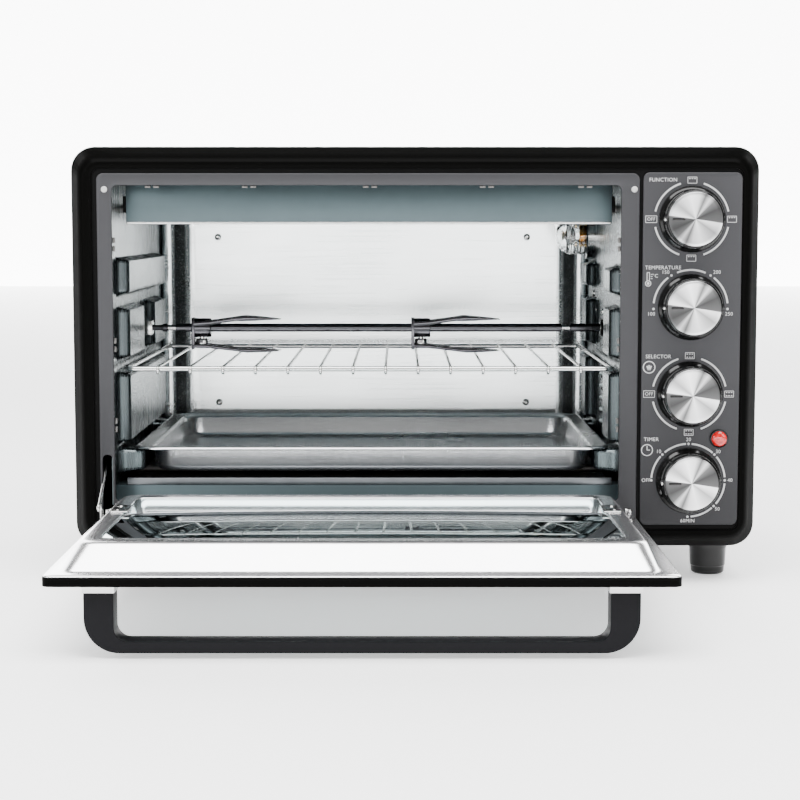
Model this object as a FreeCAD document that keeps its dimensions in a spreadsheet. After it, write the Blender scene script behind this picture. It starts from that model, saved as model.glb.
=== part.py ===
"""Rotisserie oven: a counter-top oven with a drop-down glass door, spit, rack and tray.

Frame: +Z up, +X to the user's right, -Y towards the user. The origin is on the worktop,
below the middle of the whole oven with its door open. The door is drawn open, resting level.
"""
import FreeCAD, Part
import math
import os
import re
import Sketcher
from FreeCAD import Placement, Rotation, Vector

doc = FreeCAD.newDocument("RotisserieOven")

# ---------------------------------------------------------------- driving sizes (mm)
SIZES = {
    # body
    "body_width": 520, "body_depth": 346, "body_height": 304.5, "foot_height": 28,
    "corner_radius": 18, "sheet": 1.0, "front_sheet": 1.5, "gap": 0.5,
    # front frame: bevelled rim and flat band
    "bevel_depth": 10, "bevel_side": 9.5, "bevel_top": 11.6, "bevel_bottom": 9.7,
    "band_left": 7.2, "band_right": 4.0, "band_top": 4.9, "band_bottom": 4.3,
    "seat_groove": 3.7, "panel_groove": 2.7, "panel_radius": 6, "bulkhead_inset": 2,
    # casing: vents, rear slots, base slots and the cord's gland
    "vent_width": 6, "vent_pitch": 16, "vent_count": 5, "vent_low": 110, "vent_high": 50,
    "rear_slot_width": 5, "rear_slot_pitch": 11, "rear_slot_count": 8,
    "base_slot_width": 4, "base_slot_pitch": 8, "base_slot_count": 16, "base_slot_length": 120,
    "foot_dia": 30, "foot_tip_dia": 26, "foot_side": 28, "foot_inset": 50,
    "foot_screw_dia": 4, "foot_bore_depth": 8, "foot_margin": 2,
    "cord_side": 60, "cord_rise": 40, "cord_bush_dia": 14, "cord_bore_dia": 8,
    "cord_flange": 2, "cord_flange_lap": 3,
    # cavity, set in from the door's seat
    "cavity_side_left": 9.6, "cavity_side_right": 8.7, "cavity_roof": 7.3,
    "cavity_sill": 16.3, "cavity_depth": 300, "mouth_lip": 1.7, "mouth_lip_right": 5,
    "mouth_radius": 4, "recess_depth": 25, "recess_slope": 13, "recess_rim": 10,
    # side wall bosses, up from the cavity's floor and back from the front
    "boss_rise": 9.5, "boss_slope": 3, "boss_end_slope": 8, "boss_front": 26,
    "boss_rear": 262, "row_one_start": 157, "row_one_tall": 30, "row_two_start": 107.5,
    "row_two_tall": 41.5, "row_three_start": 42.5, "row_three_tall": 56.8,
    "boss_split_front": 124, "boss_split_rear": 176, "right_front_end": 84,
    "right_rear_start": 212, "ledge_rise": 20, "ledge_front_end": 66,
    "ledge_rear_start": 232, "ledge_tall": 20.9, "ledge_gap": 0.1,
    # control panel and knobs
    "panel_width": 74.6, "panel_top_gap": 3.0, "knob_inset": 36.6, "knob_pitch": 66,
    "knob_low": 34.3, "knob_skirt_dia": 50, "knob_face_dia": 41, "knob_body_dia": 45,
    "knob_height": 19, "knob_skirt_rise": 4, "knob_clearance": 1.2, "shaft_dia": 6,
    "bush_hole_dia": 9, "switch_width": 40, "switch_depth": 34, "bush_reach": 3,
    "bush_dia": 8.6, "shaft_slack": 0.05, "shaft_reach": 22, "lamp_side": 15,
    "lamp_rise": 66.3, "lamp_dia": 11.5, "lamp_ring_dia": 14, "lamp_barrel_dia": 9.6,
    # door, set in from its seat
    "door_side_left": 2.4, "door_side_right": 2.3, "door_head": 3.0, "door_gap": 2,
    "door_rim": 5.9, "door_radius": 6, "pivot_rise": 10.6, "pivot_depth": 0.25,
    "pivot_to_rim": 2.7, "pan_rise": 18.9, "pan_left_run": 9.4, "pan_right_run": 7,
    "pan_far_run": 16, "pan_near_run": 13, "pan_left_inset": 9.8, "pan_right_inset": 12.4,
    "pan_far_inset": 9, "pan_near_inset": 7, "pan_sheet": 1.2, "window_side": 12,
    "window_near": 17, "window_far": 14, "window_radius": 3, "glass_thickness": 4,
    "glass_lap": 5, "clip_width": 12, "clip_length": 30, "clip_near": 42,
    "clip_lap_left": 9, "clip_lap_right": 3,
    "bumper_dia": 4.6, "bumper_height": 1.1, "bumper_drop": 12, "bumper_side": 4,
    # hinges and door link
    "hinge_pin_dia": 3, "hinge_ear": 2, "hinge_slack": 0.06, "hinge_inset": 2.5,
    "hinge_cheek": 1.2, "cheek_gap": 0.3, "pin_end": 0.4, "hinge_nose_dia": 4.8,
    "hinge_reach": 14, "hinge_pocket": 5.2, "ear_length": 6, "bracket_foot": 6,
    "bracket_plate": 1.5, "bracket_top": 7, "bracket_web": 12, "bracket_low": 16,
    "link_dia": 2.2, "link_eye": 2.6, "link_eye_dia": 6, "stud_dia": 2, "stud_tab": 1.2,
    "stud_tab_gap": 0.4, "stud_tab_half": 4, "stud_reach": 33, "stud_rise": 7.7,
    "link_length": 94, "link_angle": 33.7, "slot_width": 7.6, "slot_up": 43.2,
    "slot_down": 6.3, "slot_side": 1.9, "spring_dia": 8, "spring_bore": 5,
    "spring_length": 70, "spring_start": 70, "spring_side": 11, "spring_rise": 66,
    # handle
    "handle_width": 353.2, "handle_depth": 18, "handle_leg": 19, "handle_bar": 7.5,
    "handle_drop": 44.4, "handle_setback": 18, "handle_corner": 22.6,
    "handle_inner_radius": 9, "collar_height": 5.5, "collar_margin": 1.0,
    "handle_screw_dia": 5, "handle_screw_head": 9, "handle_screw_depth": 12,
    # spit
    "spit_rise": 126, "spit_depth": 150, "spit_dia": 7, "spit_neck": 4.6,
    "neck_length": 8, "neck_lap": 4, "fork_hub_dia": 16, "fork_hub_length": 16,
    "left_fork_run": 53, "right_fork_run": 236, "fork_blade": 2.5, "fork_half": 9,
    "fork_width": 3.4, "fork_reach": 66, "fork_up": 8.5, "fork_down": 18,
    "fork_slack": 0.08, "thumb_dia": 10, "thumb_height": 8, "thumb_shank_dia": 4,
    "thumb_lift": 1, "socket_dia": 14, "socket_reach": 4, "socket_shaft_dia": 8,
    "bracket_block": 12,
    # rack and trays
    "rack_gap": 0.2, "rack_front": 20, "rack_length": 269, "rack_wire": 4,
    "rack_bar": 2.4, "rack_pitch": 25, "rack_bars": 14, "rack_side_gap": 6,
    "tray_front": 18, "tray_length": 265, "tray_side_left": 12.5, "tray_side_right": 9.5,
    "tray_rim": 12, "tray_drop": 20.7, "tray_sheet": 1.0, "tray_radius": 22,
    "crumb_front": 18.5, "crumb_length": 268, "crumb_lip": 5.4, "crumb_lift": 11.9,
    "crumb_side_gap": 8, "crumb_gap": 0.1, "sill_depth": 25,
    # heaters, light and deflector
    "heater_dia": 6.4, "upper_heater_drop": 19, "heater_clear": 0.5, "heater_front": 80,
    "heater_rear": 220, "heater_stub": 14, "insulator_dia": 14, "insulator_length": 11,
    "deflector_depth": 18, "deflector_side": 10, "deflector_drop": 30.5,
    "deflector_rise": 27, "deflector_lip": 5, "deflector_shelf": 12,
    "light_drop": 41, "light_depth": 250, "light_glass_dia": 34, "light_wall": 1.5,
    "light_reach": 34, "light_ring_rim": 4, "light_ring_height": 8,
    "light_ring_gap": 1, "socket_rim": 4, "socket_start": 6, "light_socket_length": 32,
    "bulb_dia": 18, "bulb_neck_dia": 10, "bulb_neck": 10, "bulb_start": 16,
    # convection fan and gear motor
    "fan_rise": 70, "fan_depth": 150, "fan_dia": 58, "fan_width": 12, "fan_blade": 1.5,
    "fan_hub_dia": 16, "fan_shaft_dia": 5, "fan_shaft_end": 12, "fan_gap": 4,
    "fan_motor_dia": 40, "fan_motor_length": 34, "duct_side": 8, "duct_top": 5,
    "louvre_half": 22, "louvre_low": 27, "louvre_tall": 4, "louvre_pitch": 9,
    "louvre_count": 6, "gear_motor_dia": 44, "gear_motor_length": 18,
    "gear_motor_lift": 14, "gear_motor_gap": 6, "gear_foot_half": 14,
    "gear_foot_low": 12, "gear_foot_high": 26,
}

sheet = doc.addObject("Spreadsheet::Sheet", "Sizes")
for row, (alias, number) in enumerate(SIZES.items(), start=1):
    sheet.set("A%d" % row, alias)
    sheet.set("B%d" % row, str(number))
    sheet.setAlias("B%d" % row, alias)
doc.recompute()

# ---------------------------------------------------------------- places worked out from the sizes
PLACES = {
    "body_base": "foot_height",
    "body_top": "foot_height + body_height",
    "body_side": "body_width / 2",
    # front plates
    "flat_left": "-body_side + bevel_side",
    "flat_right": "body_side - bevel_side",
    "flat_top": "body_top - bevel_top",
    "flat_base": "body_base + bevel_bottom",
    "frame_left": "flat_left + band_left",
    "frame_right": "flat_right - band_right",
    "frame_top": "flat_top - band_top",
    "frame_base": "flat_base + band_bottom",
    "panel_right": "frame_right - gap",
    "panel_left": "panel_right - panel_width",
    "seat_left": "frame_left + seat_groove",
    "seat_right": "panel_left - panel_groove",
    "seat_top": "frame_top - seat_groove",
    "seat_base": "frame_base + seat_groove",
    # door height, then how deep the open door and the body stand about the middle
    "pivot_height": "seat_base + pivot_rise",
    "door_length": "seat_top - door_head - pivot_height",
    "front": "(door_gap + door_length - body_depth - cord_flange) / 2",
    "back": "front + body_depth",
    "bulk_front": "front + front_sheet",
    "bulk_back": "bulk_front + sheet",
    # controls
    "knob_x": "panel_left + knob_inset",
    "knob_four_z": "seat_base + knob_low",
    "knob_three_z": "knob_four_z + knob_pitch",
    "knob_two_z": "knob_three_z + knob_pitch",
    "knob_one_z": "knob_two_z + knob_pitch",
    "lamp_x": "panel_right - lamp_side",
    "lamp_z": "seat_base + lamp_rise",
    "foot_x": "body_side - foot_side",
    # cavity shell (inner faces)
    "cavity_left": "seat_left + cavity_side_left",
    "cavity_right": "seat_right - cavity_side_right",
    "cavity_bottom": "seat_base + cavity_sill",
    "cavity_top": "seat_top - cavity_roof",
    "cavity_front": "bulk_back",
    "cavity_back": "front + cavity_depth",
    "recess_back": "cavity_back + recess_depth",
    "mouth_left": "cavity_left + mouth_lip",
    "mouth_right": "cavity_right - mouth_lip_right",
    "mouth_base": "cavity_bottom + mouth_lip",
    "mouth_top": "cavity_top - mouth_lip",
    # casing
    "case_side": "body_side - gap",
    "case_top": "body_top - gap",
    "case_front": "front + bevel_depth",
    "case_back": "back - sheet",
    # door, drawn open
    "pivot_y": "front + pivot_depth",
    "door_left": "seat_left + door_side_left",
    "door_right": "seat_right - door_side_right",
    "door_near": "front - door_gap",
    "door_far": "door_near - door_length",
    "rim_top": "pivot_height - pivot_to_rim",
    "rim_base": "rim_top - door_rim",
    "pan_top": "rim_top + pan_rise",
    "pan_left": "door_left + pan_left_inset",
    "pan_right": "door_right - pan_right_inset",
    "pan_near": "door_near - pan_near_inset",
    "pan_far": "door_far + pan_far_inset",
    "plateau_left": "pan_left + pan_left_run",
    "plateau_right": "pan_right - pan_right_run",
    "plateau_near": "pan_near - pan_near_run",
    "plateau_far": "pan_far + pan_far_run",
    "window_left": "plateau_left + window_side",
    "window_right": "plateau_right - window_side",
    "window_top_y": "plateau_near - window_near",
    "window_low_y": "plateau_far + window_far",
    "handle_y": "door_far + handle_setback",
    "handle_top": "rim_base - collar_height",
    "handle_base": "rim_base - handle_drop",
    "handle_left": "(door_left + door_right - handle_width) / 2",
    "handle_right": "handle_left + handle_width",
    "stud_y": "front - stud_reach",
    "stud_z": "pivot_height + stud_rise",
    "slot_bottom": "pivot_height - slot_down",
    "slot_top": "pivot_height + slot_up",
    "slot_left": "seat_left + slot_side",
    "slot_right": "slot_left + slot_width",
    "link_x": "slot_left + slot_width / 4",
    # inside
    "spit_y": "front + spit_depth",
    "spit_z": "cavity_bottom + spit_rise",
    "left_fork_x": "cavity_left + left_fork_run",
    "right_fork_x": "cavity_left + right_fork_run",
    "crumb_z": "cavity_bottom + crumb_lift",
    "lower_heater_z": "crumb_z + sheet + heater_clear + heater_dia / 2",
    "upper_heater_z": "cavity_top - upper_heater_drop",
    "tray_bottom": "lower_heater_z + heater_dia / 2 + heater_clear",
    "tray_top": "tray_bottom + tray_drop",
    "ledge_high": "tray_top - tray_sheet - ledge_gap",
    "ledge_low": "ledge_high - ledge_tall",
    "row_one_low": "cavity_bottom + row_one_start",
    "row_one_high": "row_one_low + row_one_tall",
    "row_two_low": "cavity_bottom + row_two_start",
    "row_two_high": "row_two_low + row_two_tall",
    "row_three_low": "cavity_bottom + row_three_start",
    "row_three_high": "row_three_low + row_three_tall",
    "rack_z": "row_three_high + rack_gap + rack_wire / 2",
    "deflector_low": "cavity_top - deflector_drop",
    "deflector_high": "deflector_low + deflector_rise",
    "light_z": "cavity_top - light_drop",
    "light_ring_dia": "light_glass_dia + 2 * light_ring_rim",
    "right_row_one_high": "light_z - light_ring_dia / 2 - light_ring_gap",
    "fan_z": "cavity_bottom + fan_rise",
    "rack_left": "cavity_left + rack_side_gap + rack_wire / 2",
    "rack_right": "cavity_right - rack_side_gap - rack_wire / 2",
    "rack_near": "front + rack_front + rack_wire / 2",
    "rack_rear": "front + rack_front + rack_length - rack_wire / 2",
    "tray_left": "cavity_left + tray_side_left",
    "tray_right": "cavity_right - tray_side_right",
    "tray_near": "front + tray_front",
    "tray_far": "tray_near + tray_length",
    "light_y": "front + light_depth",
    "fan_y": "front + fan_depth",
    "knob_back": "front - knob_clearance",
    "switch_front": "bulk_back",
    "switch_back": "switch_front + switch_depth",
}

places = doc.addObject("App::VarSet", "Places")


def formula(text):
    """Point each name in a formula at its cell of the sheet or its worked-out place."""
    def point(match):
        word = match.group(0)
        if word in SIZES:
            return "Sizes." + word
        return "Places." + word if word in PLACES else word
    return re.sub(r"[a-z_]+", point, str(text))


for name, text in PLACES.items():
    places.addProperty("App::PropertyFloat", name)
    places.setExpression(name, formula(text))
doc.recompute()


def value(name):
    """The number that a named size or place has now."""
    return float(sheet.get(name)) if name in SIZES else getattr(places, name)


# ---------------------------------------------------------------- primitives bound to the sheet
TURN = {
    "x": Rotation(Vector(0, 1, 0), 90),
    "y": Rotation(Vector(1, 0, 0), -90),
    "z": Rotation(),
}
nodes = {}


def bind(feature, **properties):
    """Drive properties of a feature by formulas."""
    for name, text in properties.items():
        feature.setExpression(name, formula(text))


def locate(feature, x, y, z):
    """Drive a feature's position by formulas."""
    for axis, text in zip("xyz", (x, y, z)):
        feature.setExpression("Placement.Base." + axis, formula(text))


def box(x, y, z):
    """A block between the (low, high) formulas given for each axis."""
    block = doc.addObject("Part::Box", "Block")
    for side, (low, high) in zip(("Length", "Width", "Height"), (x, y, z)):
        bind(block, **{side: "(%s) - (%s)" % (high, low)})
    locate(block, x[0], y[0], z[0])
    return block


def cylinder(axis, x, y, z, diameter, length):
    """A round bar from the point given, along +axis."""
    bar = doc.addObject("Part::Cylinder", "Bar")
    bar.Placement = Placement(Vector(), TURN[axis])
    bind(bar, Radius="(%s) / 2" % diameter, Height=length)
    locate(bar, x, y, z)
    return bar


def cone(axis, x, y, z, diameter, far_diameter, length):
    """A cone that starts at a point and runs along an axis."""
    taper = doc.addObject("Part::Cone", "Taper")
    taper.Placement = Placement(Vector(), TURN[axis])
    bind(taper, Radius1="(%s) / 2" % diameter, Radius2="(%s) / 2" % far_diameter, Height=length)
    locate(taper, x, y, z)
    return taper


def tapered(direction, start, end, base, top):
    """A block whose two end faces differ: base and top are (u low, u high, v low, v high).

    Up: u is X and v is Y. Right or left: u is Y and v is Z. Back: u is X and v is Z.
    """
    block = doc.addObject("Part::Wedge", "Tapered")
    turns = {"up": Rotation(Vector(1, 0, 0), 90), "right": Rotation(Vector(0, 0, 1), -90),
             "left": Rotation(Vector(0, 0, 1), 90), "back": Rotation()}
    block.Placement = Placement(Vector(), turns[direction])
    sign = "-" if direction == "left" else ""
    # the taper runs along the block's own Y, which each turn carries to its direction
    for suffix, (u_low, u_high, v_low, v_high) in (("", base), ("2", top)):
        if direction == "right":
            u_low, u_high = "-(%s)" % u_high, "-(%s)" % u_low
        if direction == "up":
            v_low, v_high = "-(%s)" % v_high, "-(%s)" % v_low
        bind(block, **{"X%smin" % suffix: u_low, "X%smax" % suffix: u_high,
                       "Z%smin" % suffix: v_low, "Z%smax" % suffix: v_high})
    bind(block, Ymin="%s(%s)" % (sign, start), Ymax="%s(%s)" % (sign, end))
    return block


def fuse(*shapes):
    """Join shapes into one solid."""
    joined = doc.addObject("Part::MultiFuse", "Fused")
    joined.Shapes = list(shapes)
    return joined


def group(*shapes):
    """Several loose pieces held as one object."""
    pieces = doc.addObject("Part::Compound", "Group")
    pieces.Links = list(shapes)
    return pieces


def cut(base, *tools):
    """Take shapes away from another."""
    result = doc.addObject("Part::Cut", "Cutout")
    result.Base = base
    result.Tool = tools[0] if len(tools) == 1 else fuse(*tools)
    return result


def node(name, feature):
    """Name a finished sub-part; an earlier stage of the same sub-part becomes its blank."""
    if name in nodes:
        nodes[name].Label = name + "_blank"
    feature.Label = name
    nodes[name] = feature
    return feature


# ---------------------------------------------------------------- sketched bodies
def new_body(name):
    """An empty body for sketched features."""
    return node(name, doc.addObject("PartDesign::Body", "Body"))


def plane_of(body, role):
    """One of a body's own planes."""
    return [item for item in body.Origin.OriginFeatures if item.Role == role][0]


def rounded_outline(body, plane, centre, offset, width, height, radius):
    """A sketch of a round-cornered rectangle about its own centre, on an origin plane.

    The sketch lies parallel to the plane, moved by offset along the plane's normal.
    """
    sketch = body.newObject("Sketcher::SketchObject", "Outline")
    sketch.AttachmentSupport = (plane_of(body, plane), [""])
    sketch.MapMode = "FlatFace"
    for axis, text in zip("xyz", (centre[0], centre[1], offset)):
        sketch.setExpression("AttachmentOffset.Base." + axis, formula(text))
    half_width, half_height, round_off = 40.0, 30.0, 5.0
    corners = [(1, -1, -90), (1, 1, 0), (-1, 1, 90), (-1, -1, 180)]
    sides = []
    for index, (sign_x, sign_y, start) in enumerate(corners):
        ahead = corners[(index + 1) % 4]
        middle = Vector(sign_x * (half_width - round_off), sign_y * (half_height - round_off), 0)
        arc = Part.ArcOfCircle(Part.Circle(middle, Vector(0, 0, 1), round_off),
                               math.radians(start), math.radians(start + 90))
        turn = math.radians(start + 90)
        reach = Vector(math.cos(turn), math.sin(turn), 0) * round_off
        next_middle = Vector(ahead[0] * (half_width - round_off),
                             ahead[1] * (half_height - round_off), 0)
        sides.append(arc)
        sides.append(Part.LineSegment(middle + reach, next_middle + reach))
    sketch.addGeometry(sides, False)
    for index in range(8):
        sketch.addConstraint(Sketcher.Constraint("Tangent", index, 2, (index + 1) % 8, 1))
    for line, kind in ((1, "Vertical"), (3, "Horizontal"), (5, "Vertical"), (7, "Horizontal")):
        sketch.addConstraint(Sketcher.Constraint(kind, line))
    for arc in (2, 4, 6):
        sketch.addConstraint(Sketcher.Constraint("Equal", 0, arc))
    sketch.addConstraint(Sketcher.Constraint("Symmetric", 1, 1, 5, 1, -1, 1))
    dimensions = (
        ("Radius", (0, round_off), radius),
        ("DistanceX", (5, 1, 1, 2, 2 * half_width), width),
        ("DistanceY", (7, 1, 3, 2, 2 * half_height), height),
    )
    for kind, terms, text in dimensions:
        number = sketch.addConstraint(Sketcher.Constraint(kind, *terms))
        sketch.setExpression("Constraints[%d]" % number, formula(text))
    return sketch


def front_outline(body, depth, x, z, radius):
    """An outline facing the user at Y = depth, between low and high X and Z."""
    centre = ("((%s) + (%s)) / 2" % x, "((%s) + (%s)) / 2" % z)
    return rounded_outline(body, "XZ_Plane", centre, "-(%s)" % depth,
                           "(%s) - (%s)" % (x[1], x[0]), "(%s) - (%s)" % (z[1], z[0]), radius)


def flat_outline(body, level, x, y, radius):
    """An outline lying level at Z = level, between low and high X and Y."""
    centre = ("((%s) + (%s)) / 2" % x, "((%s) + (%s)) / 2" % y)
    return rounded_outline(body, "XY_Plane", centre, level,
                           "(%s) - (%s)" % (x[1], x[0]), "(%s) - (%s)" % (y[1], y[0]), radius)


def pad(body, sketch, length, reverse=False):
    """Material along the sketch's normal: up, or towards the user (to the back if reversed)."""
    feature = body.newObject("PartDesign::Pad", "Pad")
    feature.Profile = sketch
    feature.Reversed = reverse
    bind(feature, Length=length)
    return feature


def pocket(body, sketch, length):
    """A cut against the sketch's normal: down, or to the back."""
    doc.recompute()
    before = body.Shape.Volume
    feature = body.newObject("PartDesign::Pocket", "Pocket")
    feature.Profile = sketch
    bind(feature, Length=length)
    doc.recompute()
    if body.Shape.Volume > before - 0.5:
        raise ValueError("a pocket in %s cuts nothing" % body.Label)
    return feature


def loft(body, kind, first, second):
    """Blend one outline into another."""
    feature = body.newObject("PartDesign::" + kind, "Loft")
    feature.Profile = first
    feature.Sections = [second]
    feature.Ruled = True
    doc.recompute()
    return feature


def front_plate(name, front_y, thickness, x, z, radius):
    """A flat plate facing the user."""
    body = new_body(name)
    pad(body, front_outline(body, front_y, x, z, radius), thickness, reverse=True)
    return body


def front_opening(body, front_y, x, z, radius, depth):
    """An opening through a plate that faces the user."""
    pocket(body, front_outline(body, "(%s) - 1" % front_y, x, z, radius), "(%s) + 2" % depth)


def flat_plate(name, base_z, thickness, x, y, radius):
    """A flat plate lying level."""
    body = new_body(name)
    pad(body, flat_outline(body, base_z, x, y, radius), thickness)
    return body


# ---------------------------------------------------------------- front plates
FRONT_HOLES = (("knob_x", "knob_one_z"), ("knob_x", "knob_two_z"),
               ("knob_x", "knob_three_z"), ("knob_x", "knob_four_z"))


def round_front_hole(body, x, z, diameter, front_y, depth):
    """A round hole through a plate that faces the user."""
    sketch = body.newObject("Sketcher::SketchObject", "Hole")
    sketch.AttachmentSupport = (plane_of(body, "XZ_Plane"), [""])
    sketch.MapMode = "FlatFace"
    for axis, text in zip("xyz", (x, z, "1 - (%s)" % front_y)):
        sketch.setExpression("AttachmentOffset.Base." + axis, formula(text))
    sketch.addGeometry(Part.Circle(Vector(), Vector(0, 0, 1), 4), False)
    sketch.addConstraint(Sketcher.Constraint("Coincident", 0, 3, -1, 1))
    number = sketch.addConstraint(Sketcher.Constraint("Diameter", 0, 8))
    sketch.setExpression("Constraints[%d]" % number, formula(diameter))
    pocket(body, sketch, "(%s) + 2" % depth)


def controls_holes(body, front_y, depth):
    """Holes for the four control bushes and the indicator lamp's barrel."""
    for x, z in FRONT_HOLES:
        round_front_hole(body, x, z, "bush_hole_dia", front_y, depth)
    round_front_hole(body, "lamp_x", "lamp_z", "lamp_barrel_dia + gap", front_y, depth)


def door_openings(body, front_y, depth):
    """The cavity mouth, the door link's slot and the right hinge's pocket."""
    front_opening(body, front_y, ("mouth_left", "mouth_right"), ("mouth_base", "mouth_top"),
                  "mouth_radius", depth)
    front_opening(body, front_y, ("slot_left", "slot_right"), ("slot_bottom", "slot_top"),
                  "slot_width / 2 - 0.2", depth)
    front_opening(body, front_y,
                  ("door_right - hinge_inset - hinge_ear - 2 * gap - hinge_cheek",
                   "door_right - hinge_inset + gap"),
                  ("pivot_height - hinge_pocket", "pivot_height + 2 * hinge_pocket"),
                  "1.5", depth)


def make_front_frame():
    """The bevelled rim: a hollow tapered shell with one large opening for the front panels."""
    body = new_body("front_frame")
    outer = front_outline(body, "front", ("flat_left", "flat_right"), ("flat_base", "flat_top"),
                          "corner_radius - bevel_side / 2")
    skirt = front_outline(body, "case_front", ("-body_side", "body_side"),
                          ("body_base", "body_top"), "corner_radius")
    loft(body, "AdditiveLoft", outer, skirt)
    inner = front_outline(body, "bulk_front", ("flat_left", "flat_right"),
                          ("flat_base", "flat_top"), "corner_radius - bevel_side / 2")
    hollow = front_outline(body, "case_front + 0.01",
                           ("front_sheet - body_side", "body_side - front_sheet"),
                           ("body_base + front_sheet", "body_top - front_sheet"),
                           "corner_radius - front_sheet")
    loft(body, "SubtractiveLoft", inner, hollow)
    front_opening(body, "front", ("frame_left", "frame_right"), ("frame_base", "frame_top"),
                  "panel_radius", "front_sheet")


def make_front_plates():
    """The bulkhead, the door's seat, the control panel and the door's bumpers."""
    bulkhead = front_plate("front_bulkhead", "bulk_front", "sheet",
                           ("flat_left + bulkhead_inset", "flat_right - bulkhead_inset"),
                           ("flat_base + bulkhead_inset", "flat_top - bulkhead_inset"), "corner_radius - bevel_side / 2")
    door_openings(bulkhead, "bulk_front", "sheet")
    controls_holes(bulkhead, "bulk_front", "sheet")
    seat = front_plate("door_seat", "front", "front_sheet", ("seat_left", "seat_right"),
                       ("seat_base", "seat_top"), "panel_radius")
    door_openings(seat, "front", "front_sheet")
    panel = front_plate("control_panel", "front", "front_sheet", ("panel_left", "panel_right"),
                        ("seat_base", "frame_top - panel_top_gap"), "panel_radius / 2")
    controls_holes(panel, "front", "front_sheet")
    bumper_x = ("seat_left + panel_radius", "seat_right - bumper_side")
    node("door_bumpers", group(*[
        cylinder("y", x, "front - bumper_height", "seat_top - bumper_drop", "bumper_dia",
                 "bumper_height") for x in bumper_x]))


# ---------------------------------------------------------------- casing
def make_casing():
    """The folded casing, the back, the base plate and the cord's gland."""
    body = new_body("outer_casing")
    pad(body, front_outline(body, "case_front", ("-case_side", "case_side"),
                            ("body_base", "case_top"), "corner_radius"),
        "case_back - case_front", reverse=True)
    front_opening(body, "case_front", ("sheet - case_side", "case_side - sheet"),
                  ("body_base + sheet", "case_top - sheet"), "corner_radius - sheet",
                  "case_back - case_front")
    front_opening(body, "case_front",
                  ("foot_dia / 2 + foot_margin - foot_x",
                   "foot_x - foot_dia / 2 - foot_margin"),
                  ("body_base - 10", "body_base + 10"), "2", "case_back - case_front")
    vents = [box(("case_side - 2 * sheet", "case_side + 1"),
                 ("back - vent_low + vent_pitch * %d" % row,
                  "back - vent_low + vent_width + vent_pitch * %d" % row),
                 ("body_top - vent_low", "body_top - vent_high"))
             for row in range(int(value("vent_count")))]
    foot_holes = [cylinder("z", x, y, "body_base - 1", "foot_screw_dia", "sheet + 2")
                  for x, y in foot_places()]
    node("outer_casing", cut(body, *(vents + foot_holes)))

    rear = front_plate("rear_panel", "case_back", "sheet", ("-case_side", "case_side"),
                       ("body_base", "case_top"), "corner_radius")
    for column in range(int(value("rear_slot_count"))):
        left = "body_side - vent_low + rear_slot_pitch * %d" % column
        front_opening(rear, "case_back", (left, left + " + rear_slot_width"),
                      ("body_top - vent_low", "body_top - vent_high"), "2", "sheet")
    round_front_hole(rear, "body_side - cord_side", "body_base + cord_rise", "cord_bush_dia",
                     "case_back", "sheet")

    plate = box(("corner_radius - case_side", "case_side - corner_radius"),
                ("case_front + gap", "case_back"), ("body_base + sheet", "body_base + 2 * sheet"))
    holes = [cylinder("z", x, y, "body_base", "foot_screw_dia", "4 * sheet")
             for x, y in foot_places()]
    middle, row = "(front + back) / 2", "base_slot_pitch * (%d - (base_slot_count - 1) / 2)"
    slots = [box(("%s - base_slot_width / 2" % (row % column),
                  "%s + base_slot_width / 2" % (row % column)),
                 (middle + " - base_slot_length / 2", middle + " + base_slot_length / 2"),
                 ("body_base", "body_base + 4 * sheet"))
             for column in range(int(value("base_slot_count")))]
    node("base_plate", cut(plate, *(holes + slots)))

    x, z = "body_side - cord_side", "body_base + cord_rise"
    gland = cut(fuse(cylinder("y", x, "case_back - 3 * cord_flange", z, "cord_bush_dia",
                              "4 * cord_flange + sheet"),
                     cylinder("y", x, "back", z, "cord_bush_dia + 2 * cord_flange_lap",
                              "cord_flange")),
                cylinder("y", x, "case_back - 4 * cord_flange", z, "cord_bore_dia",
                         "6 * cord_flange + 2"))
    node("cord_gland", gland)


def foot_places():
    """Where the four feet stand."""
    return [(x, y) for x in ("-foot_x", "foot_x")
            for y in ("front + foot_inset", "back - foot_inset")]


def make_feet():
    """The four feet and their screws."""
    feet, screws = [], []
    for x, y in foot_places():
        body = cone("z", x, y, "0", "foot_tip_dia", "foot_dia", "foot_height")
        feet.append(cut(body, cylinder("z", x, y, "-1", "foot_screw_dia * 2",
                                      "foot_bore_depth + 1"),
                        cylinder("z", x, y, "-1", "foot_screw_dia", "foot_height + 2")))
        screws.append(fuse(cylinder("z", x, y, "foot_bore_depth", "foot_screw_dia",
                                    "foot_height + 5 * sheet - foot_bore_depth"),
                           cylinder("z", x, y, "foot_bore_depth - 3", "foot_screw_dia * 2",
                                    "3")))
    node("feet", group(*feet))
    node("foot_screws", group(*screws))


# ---------------------------------------------------------------- cavity
def boss(side, y, z, rise):
    """A pressed boss on a side wall: its outer block and the hollow behind it."""
    wall = "cavity_left" if side == "right" else "cavity_right"
    away = "+" if side == "right" else "-"
    back = "%s %s (%s)" % (wall, away, "-sheet")
    face = "%s %s (%s)" % (wall, away, rise)
    outer = tapered(side, wall, face, (y[0], y[1], z[0], z[1]),
                    ("(%s) + boss_end_slope" % y[0], "(%s) - boss_end_slope" % y[1],
                     "(%s) + boss_slope" % z[0], "(%s) - boss_slope" % z[1]))
    hollow = tapered(side, back, "%s %s (%s - sheet)" % (wall, away, rise),
                     ("(%s) + sheet" % y[0], "(%s) - sheet" % y[1],
                      "(%s) + sheet" % z[0], "(%s) - sheet" % z[1]),
                     ("(%s) + boss_end_slope + sheet" % y[0],
                      "(%s) - boss_end_slope - sheet" % y[1],
                      "(%s) + boss_slope + sheet" % z[0], "(%s) - boss_slope - sheet" % z[1]))
    return outer, hollow


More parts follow.
